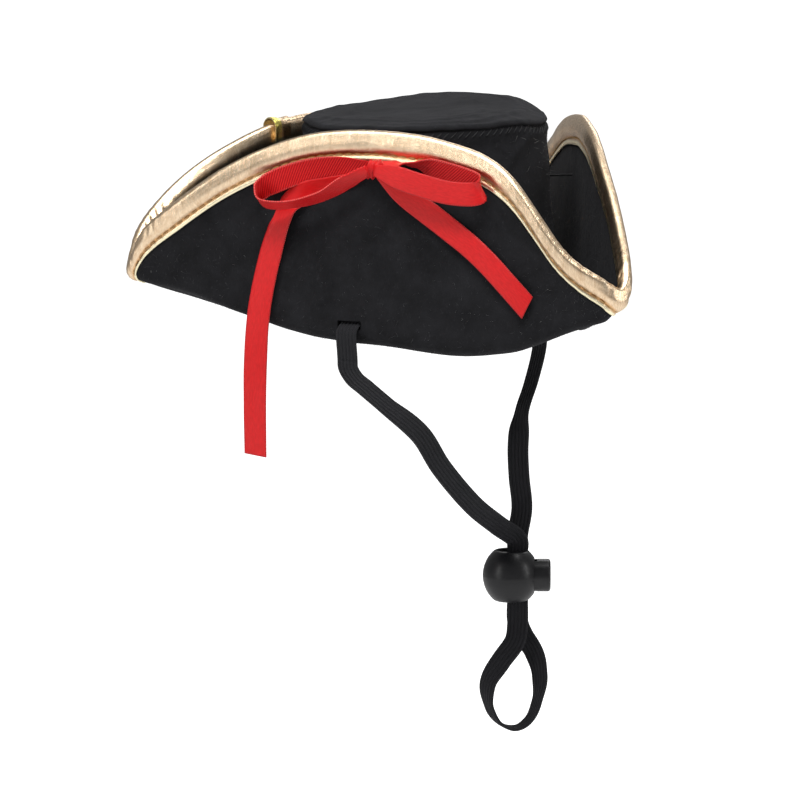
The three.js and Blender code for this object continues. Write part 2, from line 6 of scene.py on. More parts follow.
import bmesh
import bpy
import numpy as np
from mathutils import Matrix, Vector, noise


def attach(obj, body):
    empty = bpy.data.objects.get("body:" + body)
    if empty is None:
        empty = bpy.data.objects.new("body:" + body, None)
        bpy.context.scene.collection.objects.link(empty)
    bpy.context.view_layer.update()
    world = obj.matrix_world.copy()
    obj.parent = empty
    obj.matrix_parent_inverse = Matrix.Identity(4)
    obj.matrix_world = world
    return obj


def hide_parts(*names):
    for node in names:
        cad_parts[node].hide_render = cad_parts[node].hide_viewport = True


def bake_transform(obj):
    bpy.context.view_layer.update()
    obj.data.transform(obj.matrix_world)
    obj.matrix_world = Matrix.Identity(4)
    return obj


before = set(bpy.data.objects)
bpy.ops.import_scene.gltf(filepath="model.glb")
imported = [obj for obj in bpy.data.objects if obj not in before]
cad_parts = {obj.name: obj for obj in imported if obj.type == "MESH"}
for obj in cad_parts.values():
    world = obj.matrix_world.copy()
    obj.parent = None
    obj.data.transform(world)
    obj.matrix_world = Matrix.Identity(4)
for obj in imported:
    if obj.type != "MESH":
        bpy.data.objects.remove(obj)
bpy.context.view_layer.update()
MM = 0.001

# ---------- the hat's driving dimensions, as in the CAD ----------
FELT = 1.8 * MM
HEAD_RADIUS = 41 * MM
HEAD_HEIGHT = 3.5 * MM
CROWN_RADIUS = 36 * MM
CROWN_TOP = 67.4 * MM
FLAP_DISTANCE = 46.5 * MM
CORNER_RADIUS = 5 * MM
FOLD_RADIUS = 3.4 * MM
FLAPS = {
    "right": {"turn": -150, "height": 64.8, "lean": 2.5, "flare": 5, "plus": "front", "minus": "rear"},
    "left": {"turn": -30, "height": 63, "lean": -1.5, "flare": 1, "plus": "rear_left", "minus": "front_left"},
    "back": {"turn": 90, "height": 61.5, "lean": 2.5, "flare": 5, "plus": "rear", "minus": "rear"},
}
FOLD_HEIGHTS = {
    "front": [3, 1.6, 3, 11, 16],
    "front_left": [3, 3.5, 9.5, 15, 16.5],
    "rear": [3, 5, 10.5, 17, 19],
    "rear_left": [3, 5, 10.5, 17, 19],
}
EDGE_SHARES = {
    "front": [1, 0.97, 0.85, 0.46, 0.33],
    "front_left": [1, 0.94, 0.75, 0.52, 0.34],
    "rear": [1, 0.965, 0.83, 0.6, 0.36],
    "rear_left": [1, 0.95, 0.82, 0.65, 0.36],
}
CORNER_SHARE = 0.16
RIBBON_WIDTH = 7 * MM
RIBBON_CLOTH = 0.32 * MM
ELASTIC_WIDTH = 6.4 * MM
ELASTIC_CLOTH = 1.15 * MM
RIGHT_EXIT = np.array([-44.6, -18, 8]) * MM
LEFT_EXIT = np.array([48.9, 3.4, 8]) * MM
LOCK_OFFSET = 33 * MM
LOCK_HEIGHT = -77.9 * MM
LOCK_TURN = math.radians(-40)
BALL_RADIUS = 8.6 * MM
BALL_HEIGHT = 15.4 * MM
PASSAGE_OFFSET = 2 * MM
LAYER = 0.75 * MM  # from the middle of the passage to the middle of each layer of elastic
PASSAGE = (7.4 * MM, 3.8 * MM)
BUTTON_RADIUS = 5 * MM
BUTTON_REACH = 12 * MM
BUTTON_RIM = 0.9 * MM
BUTTON_BACK = -3.7 * MM + 1.0 * MM
SPRING_RADIUS = 2.4 * MM
SPRING_WIRE = 0.2 * MM

# ---------- how finely the looks are made ----------
STEPS_PER_HALF = 90
FLOOR_ROWS = 12
ARC_ROWS = 7
FLAP_ROWS = 26

X, Y, Z = np.eye(3)
random.seed(7)


# ---------- small helpers ----------
def unit(v):
    return v / np.linalg.norm(v, axis=-1, keepdims=True)


def about_z(points, angle):
    c, s = math.cos(angle), math.sin(angle)
    return points @ np.array([[c, s, 0], [-s, c, 0], [0, 0, 1]])


def smoothstep(low, high, value):
    t = np.clip((value - low) / (high - low), 0, 1)
    return t * t * (3 - 2 * t)


def waver(point, size, seed=0.0):
    """Smooth noise from -1 to 1 whose features are about size across."""
    return noise.noise(Vector(point) / size + Vector((seed, 2 * seed, -seed)))


def catmull(values, share):
    """Value at share 0..1 on the smooth curve through values at equal steps."""
    place = min(share, 1) * (len(values) - 1)
    i = min(int(place), len(values) - 2)
    t = place - i
    a, b, c, d = values[max(i - 1, 0)], values[i], values[i + 1], values[min(i + 2, len(values) - 1)]
    return b + t / 2 * ((c - a) + t * ((2 * a - 5 * b + 4 * c - d) + t * (3 * b - a - 3 * c + d)))


def make_piece(name, points, faces, materials, face_materials=None, uv=None, sharp=None):
    """A mesh object. uv is a list of (u, v) for each face's corners, in face order."""
    mesh = bpy.data.meshes.new(name)
    mesh.from_pydata([tuple(p) for p in points], [], faces)
    for material in materials:
        mesh.materials.append(material)
    if face_materials is not None:
        mesh.polygons.foreach_set("material_index", face_materials)
    mesh.polygons.foreach_set("use_smooth", [True] * len(mesh.polygons))
    if uv is not None:
        layer = mesh.uv_layers.new(name="cloth")
        layer.data.foreach_set("uv", np.array(uv, np.float32).ravel())
    if sharp is not None:
        mark_sharp(mesh, sharp)
    mesh.validate()
    obj = bpy.data.objects.new(name, mesh)
    bpy.context.collection.objects.link(obj)
    return obj


def stand_in(piece, node, body="hat"):
    """The piece shows in place of a CAD node and moves with the body."""
    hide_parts(node)
    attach(piece, body)


def mark_sharp(mesh, degrees):
    work = bmesh.new()
    work.from_mesh(mesh)
    bmesh.ops.remove_doubles(work, verts=work.verts, dist=1e-6)
    bmesh.ops.recalc_face_normals(work, faces=work.faces)
    for edge in work.edges:
        edge.smooth = not edge.is_manifold or edge.calc_face_angle(0) < math.radians(degrees)
    work.to_mesh(mesh)
    work.free()


def grid_faces(columns, rows, closed_columns=False, closed_rows=False):
    """Quads between the points of a grid that is stored column by column."""
    faces = []
    for c in range(columns if closed_columns else columns - 1):
        d = (c + 1) % columns
        for r in range(rows if closed_rows else rows - 1):
            q = (r + 1) % rows
            faces.append((c * rows + r, d * rows + r, d * rows + q, c * rows + q))
    return faces


def join_shapes(shapes):
    """One list of points and faces from several."""
    points, faces = [], []
    for some_points, some_faces in shapes:
        faces += [tuple(i + len(points) for i in f) for f in some_faces]
        points += [tuple(p) for p in some_points]
    return points, faces


def tube(route, radius, sides=6):
    """A round thread through the points of route, closed at its ends. radius may vary along it."""
    route = np.asarray(route, float)
    along = unit(np.gradient(route, axis=0))
    side = np.cross(along, Z + 0.31 * X)
    side = unit(side)
    other = np.cross(along, side)
    radii = np.broadcast_to(radius, len(route))
    points = []
    for i, centre in enumerate(route):
        for k in range(sides):
            a = 2 * math.pi * k / sides
            points.append(centre + radii[i] * (math.cos(a) * side[i] + math.sin(a) * other[i]))
    faces = grid_faces(len(route), sides, closed_rows=True)
    faces.append(tuple(range(sides)))
    faces.append(tuple(reversed(range(len(points) - sides, len(points)))))
    return points, faces


def stitch(start, end, lift, radius, steps=5):
    """One stitch: a short thread that dips into the cloth at both ends."""
    start, end = np.asarray(start), np.asarray(end)
    route, radii = [], []
    for i in range(steps + 1):
        s = i / steps
        arch = 1 - (2 * s - 1) ** 4
        route.append(start + (end - start) * s + np.asarray(lift) * arch)
        radii.append(radius * (0.55 + 0.45 * arch))
    return tube(route, radii, 6)


def smooth_curve(route, per_stretch=14):
    """Points on a centripetal Catmull-Rom curve through route, and each one's place in the route."""
    p = np.asarray(route, float)
    p = np.vstack([2 * p[0] - p[1], p, 2 * p[-1] - p[-2]])
    points, places = [], []
    for i in range(1, len(p) - 2):
        a, b, c, d = p[i - 1], p[i], p[i + 1], p[i + 2]
        t1 = np.linalg.norm(b - a) ** 0.5
        t2 = t1 + np.linalg.norm(c - b) ** 0.5
        t3 = t2 + np.linalg.norm(d - c) ** 0.5
        for k in range(per_stretch):
            t = t1 + (t2 - t1) * k / per_stretch
            ab = (t1 - t) / t1 * a + t / t1 * b
            bc = (t2 - t) / (t2 - t1) * b + (t - t1) / (t2 - t1) * c
            cd = (t3 - t) / (t3 - t2) * c + (t - t2) / (t3 - t2) * d
            abc = (t2 - t) / t2 * ab + t / t2 * bc
            bcd = (t3 - t) / (t3 - t1) * bc + (t - t1) / (t3 - t1) * cd
            points.append((t2 - t) / (t2 - t1) * abc + (t - t1) / (t2 - t1) * bcd)
            places.append(i - 1 + k / per_stretch)
    points.append(p[-2])
    places.append(len(p) - 3)
    return np.array(points), np.array(places)


def band_frames(route, looks, spacing=0.8 * MM):
    """Even steps along a flat band: centres, sideways and facing directions, and distances along.
    looks[i] is the way the band's right side faces at route[i]."""
    points, places = smooth_curve(route)
    lengths = np.concatenate([[0], np.cumsum(np.linalg.norm(np.diff(points, axis=0), axis=1))])
    count = int(math.ceil(lengths[-1] / spacing)) + 1
    at = np.linspace(0, lengths[-1], count)
    centres = np.stack([np.interp(at, lengths, points[:, k]) for k in range(3)], 1)
    place = np.interp(at, lengths, places)
    looks = unit(np.asarray(looks, float))
    low = np.minimum(place.astype(int), len(looks) - 2)
    share = (place - low)[:, None]
    share = share * share * (3 - 2 * share)
    facing = looks[low] * (1 - share) + looks[low + 1] * share
    along = unit(np.gradient(centres, axis=0))
    side = unit(np.cross(along, facing))
    facing = unit(np.cross(side, along))
    return centres, side, facing, at, along


def sweep_band(name, frames, section, materials, section_materials, skew_end=0.0):
    """A closed band: section(i, share) gives its outline as (across, out) points, the right side first."""
    centres, side, facing, at, along = frames
    points, across = [], []
    for i, centre in enumerate(centres):
        outline = section(i, at[i] / at[-1])
        near_end = max(0.0, 1 - (at[-1] - at[i]) / RIBBON_WIDTH)
        for a, b in outline:
            points.append(centre + a * side[i] + b * facing[i] + along[i] * a * skew_end * near_end)
            across.append(a)
    count = len(outline)
    faces = grid_faces(len(centres), count, closed_rows=True)
    uv, kinds = [], []
    for index, face in enumerate(faces):
        uv += [(across[v] / MM, at[v // count] / MM) for v in face]
        kinds.append(section_materials[index % count])
    for first in (0, (len(centres) - 1) * count):
        for k in range(count // 2 - 1):
            cap = (first + k, first + k + 1, first + count - 2 - k, first + count - 1 - k)
            faces.append(cap if first == 0 else cap[::-1])
            uv += [(across[v] / MM, at[v // count] / MM) for v in faces[-1]]
            kinds.append(0)
    return make_piece(name, points, faces, materials, kinds, uv)


# ---------- materials ----------
class Material:
    """A principled material with short calls for the nodes around it."""

    def __init__(self, name, **sockets):
        self.material = bpy.data.materials.new(name)
        self.material.use_nodes = True
        self.tree = self.material.node_tree
        self.shader = self.tree.nodes["Principled BSDF"]
        for socket, value in sockets.items():
            self.shader.inputs[socket.replace("_", " ")].default_value = value

    def node(self, kind, inputs=(), **settings):
        made = self.tree.nodes.new("ShaderNode" + kind)
        for key, value in settings.items():
            setattr(made, key, value)
        for key, value in dict(inputs).items():
            self.put(made.inputs[key], value)
        return made

    def put(self, socket, value):
        if isinstance(value, bpy.types.NodeSocket):
            self.tree.links.new(value, socket)
        else:
            socket.default_value = value

    def place(self, stretch=(1, 1, 1), turn=0.0, source="Object"):
        coordinates = self.node("TexCoord").outputs[source]
        return self.node("Mapping", {"Vector": coordinates, "Scale": stretch,
                                     "Rotation": (0, 0, turn)}).outputs["Vector"]

    def on_cloth(self, stretch=(1, 1, 1), turn=0.0):
        """Places on a strip: across and along it, in millimetres."""
        return self.place(stretch, turn, "UV")

    def across(self):
        """How far across a strip a point is, in millimetres from its middle or its edge."""
        return self.node("SeparateXYZ", {0: self.node("TexCoord").outputs["UV"]}).outputs[0]

    def noise(self, where, scale, detail=3.0, rough=0.55, distortion=0.0):
        return self.node("TexNoise", {"Vector": where, "Scale": scale, "Detail": detail,
                                      "Roughness": rough, "Distortion": distortion}).outputs["Fac"]

    def wave(self, where, scale, distortion=0.0, direction="Y"):
        return self.node("TexWave", {"Vector": where, "Scale": scale, "Distortion": distortion,
                                     "Detail": 1.0, "Detail Scale": 2.0},
                         bands_direction=direction).outputs["Fac"]

    def maths(self, operation, a, b=0.0):
        return self.node("Math", {0: a, 1: b}, operation=operation).outputs[0]

    def spread(self, value, low, high, to_low=0.0, to_high=1.0):
        return self.node("MapRange", {"Value": value, "From Min": low, "From Max": high,
                                      "To Min": to_low, "To Max": to_high}).outputs["Result"]

    def colours(self, factor, first, second):
        mixed = self.node("Mix", {"Factor": factor}, data_type="RGBA")
        self.put(mixed.inputs[6], (*first, 1) if isinstance(first, tuple) else first)
        self.put(mixed.inputs[7], (*second, 1) if isinstance(second, tuple) else second)
        return mixed.outputs[2]

    def base(self, colour):
        self.put(self.shader.inputs["Base Color"], colour)

    def rough(self, value):
        self.put(self.shader.inputs["Roughness"], value)

    def bumps(self, *layers):
        """layers are (height, distance in metres, strength), the coarsest first."""
        normal = None
        for height, distance, strength in layers:
            inputs = {"Height": height, "Distance": distance, "Strength": strength}
            if normal is not None:
                inputs["Normal"] = normal
            normal = self.node("Bump", inputs).outputs["Normal"]
        self.put(self.shader.inputs["Normal"], normal)


def felt_material():
    m = Material("felt", Sheen_Weight=0.03, Sheen_Roughness=0.6, Sheen_Tint=(0.8, 0.8, 0.85, 1),
                 Specular_IOR_Level=0.12)
    where = m.place()
    patches = m.noise(where, 110, 4, 0.6)
    pressed = m.noise(where, 420, 3, 0.6)
    strands = m.maths("MULTIPLY", m.noise(m.place((500, 2600, 700), 0.6), 1, 3, 0.6, 1.2),
                      m.noise(m.place((2600, 600, 900), -0.4), 1, 3, 0.6, 1.2))
    tone = m.maths("ADD", m.maths("MULTIPLY", patches, 0.6), m.maths("MULTIPLY", pressed, 0.4))
    ground = m.colours(m.spread(tone, 0.35, 0.65), (0.0052, 0.0052, 0.0060), (0.0128, 0.0128, 0.0146))
    pale = m.spread(strands, 0.32, 0.5, 0, 0.55)
    m.base(m.colours(pale, ground, (0.036, 0.036, 0.040)))
    m.rough(m.spread(pressed, 0.3, 0.7, 0.86, 1.0))
    m.bumps((patches, 0.5 * MM, 0.5), (pressed, 0.30 * MM, 0.6), (strands, 0.25 * MM, 0.7))
    return m.material


def gold_material(name="gold_lame", reverse=False):
    """Metallic cloth: u runs across the strip in millimetres from the edge, v along it."""
    m = Material(name, Metallic=1.0, Specular_IOR_Level=0.5)
    across = m.across()
    crackle = m.noise(m.on_cloth((0.9, 4.2, 1)), 1.0, 4, 0.65, 0.8)
    grain = m.noise(m.on_cloth((7, 9, 1)), 1.0, 2, 0.7)
    lustre = m.noise(m.on_cloth((0.25, 0.5, 1)), 1.0, 3, 0.5)
    deep, bright = (((0.62, 0.46, 0.05), (0.95, 0.86, 0.25)) if reverse
                    else ((0.58, 0.38, 0.22), (0.92, 0.75, 0.54)))
    body = m.colours(m.spread(m.maths("ADD", crackle, m.maths("MULTIPLY", lustre, 0.5)), 0.5, 0.95),
                     deep, bright)
    specks = m.spread(grain, 0.60, 0.72, 0, 0.7)
    body = m.colours(specks, body, (0.42, 0.26, 0.13))
    depth = m.maths("ABSOLUTE", across)
    lip = m.spread(depth, 6.15, 6.6)
    # painted shade: the stitched groove of the strip is coloured a darker orange-brown
    groove_shade = m.maths("MULTIPLY", m.spread(depth, 4.6, 5.5), m.spread(depth, 6.4, 5.9))
    body = m.colours(m.maths("MULTIPLY", groove_shade, 0.75), body, (0.60, 0.30, 0.09))
    # painted highlight: the thin lip below the groove is coloured a pale bright cream
    m.base(m.colours(m.maths("MULTIPLY", lip, 0.85), body, (0.98, 0.90, 0.62)))
    m.rough(m.spread(grain, 0.3, 0.7, 0.20, 0.36))
    m.bumps((crackle, 0.10 * MM, 0.45), (grain, 0.06 * MM, 0.6))
    return m.material


def satin_material():
    """The ribbon's glossy side: fine warp lines along it and a little slub."""
    m = Material("satin_face", Sheen_Weight=0.12, Sheen_Roughness=0.35, Sheen_Tint=(1, 0.2, 0.2, 1),
                 Specular_IOR_Level=0.7, Anisotropic=0.6, Specular_Tint=(1, 0.45, 0.42, 1))
    lines = m.wave(m.on_cloth(), 2.4, 0.4, "X")
    picks = m.wave(m.on_cloth(), 1.6, 0.6, "Y")
    slub = m.noise(m.on_cloth((2.2, 0.5, 1)), 1.0, 3, 0.6)
    fine = m.noise(m.on_cloth((9, 5, 1)), 1.0, 2, 0.6)
    body = m.colours(m.spread(slub, 0.3, 0.7), (0.48, 0.004, 0.006), (0.62, 0.008, 0.011))
    across = m.across()
    selvage = m.spread(m.maths("ABSOLUTE", across), 3.05, 3.2)
    dots = m.spread(m.wave(m.on_cloth(), 0.55, 0.0, "Y"), 0.55, 0.7)
    body = m.colours(m.maths("MULTIPLY", selvage, m.maths("MULTIPLY", dots, 0.55)), body,
                     (0.30, 0.004, 0.008))
    m.base(body)
    m.rough(m.spread(fine, 0.3, 0.7, 0.28, 0.40))
    m.bumps((slub, 0.08 * MM, 0.35), (lines, 0.03 * MM, 0.35), (picks, 0.03 * MM, 0.3),
            (m.maths("MULTIPLY", selvage, dots), 0.08 * MM, 0.6))
    return m.material


def ribbed_material():
    """The ribbon's reverse: diagonal ribs and pale stitches along the selvages."""
    m = Material("satin_reverse", Sheen_Weight=0.1, Sheen_Tint=(1, 0.2, 0.2, 1), Specular_IOR_Level=0.35,
                 Specular_Tint=(1, 0.5, 0.45, 1))
    ribs = m.wave(m.on_cloth((1, 1, 1), math.radians(52)), 0.46, 0.5, "X")
    cross = m.wave(m.on_cloth((1, 1, 1), math.radians(-38)), 1.8, 0.3, "X")
    slub = m.noise(m.on_cloth((1.5, 0.7, 1)), 1.0, 3, 0.6)
    body = m.colours(m.spread(ribs, 0.25, 0.8), (0.36, 0.003, 0.006), (0.66, 0.015, 0.018))
    body = m.colours(m.spread(slub, 0.4, 0.9, 0, 0.35), body, (0.70, 0.03, 0.03))
    across = m.across()
    selvage = m.spread(m.maths("ABSOLUTE", across), 2.95, 3.1)
    dots = m.spread(m.wave(m.on_cloth(), 0.5, 0.0, "Y"), 0.5, 0.75)
    m.base(m.colours(m.maths("MULTIPLY", selvage, m.maths("MULTIPLY", dots, 0.6)), body, (0.85, 0.22, 0.20)))
    m.rough(m.spread(ribs, 0.2, 0.8, 0.62, 0.5))
    m.bumps((slub, 0.05 * MM, 0.3), (ribs, 0.16 * MM, 0.8), (cross, 0.04 * MM, 0.4),
            (m.maths("MULTIPLY", selvage, dots), 0.12 * MM, 0.7))
    return m.material


def elastic_material():
    """Braided elastic: the ribs are in the mesh, and the yarn's small chevrons are in the material."""
    m = Material("elastic", Sheen_Weight=0.05, Sheen_Roughness=0.5, Sheen_Tint=(0.8, 0.8, 0.9, 1),
                 Specular_IOR_Level=0.22)
    chevron = m.wave(m.on_cloth((1, 1, 1), math.radians(28)), 0.85, 0.6, "Y")
    other = m.wave(m.on_cloth((1, 1, 1), math.radians(-28)), 0.85, 0.6, "Y")
    knit = m.maths("MAXIMUM", chevron, other)
    fluff = m.noise(m.on_cloth((3, 3, 1)), 1.0, 4, 0.7)
    tone = m.maths("MULTIPLY", m.spread(knit, 0.3, 0.95), m.spread(fluff, 0.25, 0.75))
    m.base(m.colours(tone, (0.0034, 0.0034, 0.0044), (0.021, 0.021, 0.025)))
    m.rough(m.spread(fluff, 0.3, 0.7, 0.62, 0.82))
    m.bumps((fluff, 0.06 * MM, 0.4), (knit, 0.2 * MM, 0.8))
    return m.material


def plastic_material():
    m = Material("lock_plastic", Specular_IOR_Level=0.32)
    where = m.place()
    flow = m.noise(where, 180, 3, 0.5)
    scuff = m.noise(where, 2600, 3, 0.7)
    m.base(m.colours(m.spread(flow, 0.3, 0.7), (0.0060, 0.0060, 0.0070), (0.0105, 0.0105, 0.0120)))
    m.rough(m.spread(scuff, 0.35, 0.7, 0.30, 0.44))
    m.bumps((flow, 0.25 * MM, 0.25), (scuff, 0.02 * MM, 0.4))
    return m.material


def thread_material(name, dark, light, sheen):
    m = Material(name, Sheen_Weight=sheen, Specular_IOR_Level=0.4)
    where = m.place()
    twist = m.wave(m.place((1, 1, 1), 0.7), 900, 0.8, "DIAGONAL")
    fluff = m.noise(where, 4000, 3, 0.7)
    m.base(m.colours(m.maths("MULTIPLY", twist, fluff), dark, light))
    m.rough(m.spread(fluff, 0.3, 0.7, 0.5, 0.75))
    m.bumps((twist, 0.10 * MM, 0.6), (fluff, 0.04 * MM, 0.5))
    return m.material


def steel_material():
    m = Material("spring_steel", Metallic=1.0)
    drawn = m.noise(m.place((1, 1, 6)), 900, 3, 0.6)
    m.base(m.colours(m.spread(drawn, 0.3, 0.7), (0.42, 0.42, 0.44), (0.66, 0.66, 0.68)))
    m.rough(m.spread(drawn, 0.3, 0.7, 0.22, 0.36))
    m.bumps((drawn, 0.02 * MM, 0.4))
    return m.material


def fibre_material(name, dark, light):
    m = Material(name, Specular_IOR_Level=0.3, Sheen_Weight=0.2)
    tone = m.noise(m.place(), 300, 2, 0.5)
    m.base(m.colours(m.spread(tone, 0.35, 0.65), dark, light))
    m.rough(m.spread(tone, 0.3, 0.7, 0.7, 0.85))
    return m.material


FELT_LOOK = felt_material()
GOLD = gold_material()
GOLD_REVERSE = gold_material("gold_lame_reverse", reverse=True)
SATIN = satin_material()
RIBBED = ribbed_material()
ELASTIC = elastic_material()
PLASTIC = plastic_material()
BLACK_THREAD = thread_material("black_thread", (0.004, 0.004, 0.005), (0.014, 0.014, 0.016), 0.03)
GOLD_THREAD = thread_material("gold_thread", (0.30, 0.15, 0.04), (0.75, 0.50, 0.20), 0.3)
STEEL = steel_material()
DARK_FIBRE = fibre_material("dark_fibre", (0.007, 0.007, 0.008), (0.035, 0.035, 0.038))
PALE_FIBRE = fibre_material("pale_fibre", (0.12, 0.12, 0.12), (0.42, 0.42, 0.40))


# ---------- camera, floor and light ----------
CAMERA_TURN = math.radians(-40)
CAMERA_RISE = math.radians(9)
CAMERA_DISTANCE = 2.6
VIEW_WIDTH = 0.24
TARGET = Vector((-5.7, 4.8, -20.6)) * MM
RIGHTWARD = np.array([math.cos(CAMERA_TURN), math.sin(CAMERA_TURN), 0])
TOWARD = np.array([math.sin(CAMERA_TURN), -math.cos(CAMERA_TURN), 0])


def from_side(u, w, z):
    """The point u to the right and w nearer, as the hat is seen from its usual side, at height z."""
    return u * RIGHTWARD + w * TOWARD + z * Z


def build_camera():
    data = bpy.data.cameras.new("camera")
    data.sensor_width = 36
    data.lens = data.sensor_width * CAMERA_DISTANCE / VIEW_WIDTH
    data.clip_end = 20
    camera = bpy.data.objects.new("camera", data)
    back = Vector(TOWARD * math.cos(CAMERA_RISE) + Z * math.sin(CAMERA_RISE))
    camera.location = TARGET + CAMERA_DISTANCE * back
    camera.rotation_euler = back.to_track_quat("Z", "Y").to_euler()
    bpy.context.collection.objects.link(camera)
    bpy.context.scene.camera = camera


def build_floor():
    size, height = 5.0, -0.30
    m = Material("floor", Roughness=0.9, Specular_IOR_Level=0.1, Emission_Color=(1, 1, 1, 1))
    m.put(m.shader.inputs["Emission Strength"],
          m.maths("MULTIPLY", m.node("LightPath").outputs["Is Camera Ray"], 0.85))
    m.base(m.colours(m.noise(m.place(), 3), (0.78, 0.78, 0.78), (0.82, 0.82, 0.82)))
    corners = [(-size, -size, height), (size, -size, height), (size, size, height), (-size, size, height)]
    make_piece("floor", corners, [(0, 1, 2, 3)], [m.material])


def soft_box(name, place, size, power):
    data = bpy.data.lights.new(name, "AREA")
    data.shape = "RECTANGLE"
    data.size, data.size_y = size
    data.energy = power
    light = bpy.data.objects.new(name, data)
    light.location = place
    light.rotation_euler = Vector(place).to_track_quat("Z", "Y").to_euler()
    bpy.context.collection.objects.link(light)


def build_light():
    world = bpy.data.worlds.new("studio")
    bpy.context.scene.world = world
    world.use_nodes = True
    tree = world.node_tree
    seen = tree.nodes["Background"]
    seen.inputs["Color"].default_value = (1, 1, 1, 1)
    seen.inputs["Strength"].default_value = 1.0
    fill = tree.nodes.new("ShaderNodeBackground")
    fill.inputs["Color"].default_value = (1, 1, 1, 1)
    fill.inputs["Strength"].default_value = 0.30
    path = tree.nodes.new("ShaderNodeLightPath")
    mix = tree.nodes.new("ShaderNodeMixShader")
    tree.links.new(path.outputs["Is Camera Ray"], mix.inputs[0])
    tree.links.new(fill.outputs[0], mix.inputs[1])
    tree.links.new(seen.outputs[0], mix.inputs[2])
    tree.links.new(mix.outputs[0], tree.nodes["World Output"].inputs["Surface"])
    soft_box("overhead", from_side(-0.15, 0.75, 1.2), (0.9, 0.3), 16)
    soft_box("left_box", from_side(-1.3, 0.9, 0.35), (0.3, 1.0), 5)
    soft_box("right_box", from_side(1.4, 0.5, 0.4), (0.3, 0.9), 5)
    soft_box("rear_box", from_side(0.4, -1.3, 0.9), (0.9, 0.5), 5)
    soft_box("top_box", from_side(0.0, 0.15, 1.4), (1.5, 0.45), 13)
    bpy.context.scene.view_settings.view_transform = "Standard"


# ---------- chin elastic ----------
FLAP_OUT = about_z(X, math.radians(FLAPS["right"]["turn"]))
STRAP_MIDDLE = (RIGHT_EXIT + LEFT_EXIT) / 2
STRAP_ALONG = unit(LEFT_EXIT - RIGHT_EXIT)
LOCK_ACROSS = about_z(X, LOCK_TURN)
LOCK_FRONT = about_z(-Y, LOCK_TURN)
LOCK_FOOT = LOCK_HEIGHT - BALL_HEIGHT / 2


def with_height(point, z):
    return np.array([point[0], point[1], z])


def on_strap(s, z):
    return with_height(STRAP_MIDDLE + s * STRAP_ALONG, z)


LOCK_PLACE = on_strap(LOCK_OFFSET, LOCK_HEIGHT)


def at_lock(a, b, z):
    return with_height(LOCK_PLACE + a * LOCK_ACROSS + b * LOCK_FRONT, z)


def right_at(stand, z):
    return with_height(RIGHT_EXIT + stand * FLAP_OUT, z)


def left_at(stand, z):
    return with_height(LEFT_EXIT + stand * X, z)


def elastic_section(ribs=6, samples=36):
    """Ribs side by side, thinner at the two edges."""
    half = ELASTIC_WIDTH / 2
    upper = []
    for k in range(samples + 1):
        a = -1 + 2 * k / samples
        rib = abs(math.sin(math.pi * ribs * (a + 1) / 2)) ** 0.6
        thick = ELASTIC_CLOTH / 2 * (0.5 + 0.5 * rib) * max(0.12, 1 - a ** 12)
        upper.append((a * half, thick))
    lower = [(a, -b) for a, b in reversed(upper)]
    return upper + lower


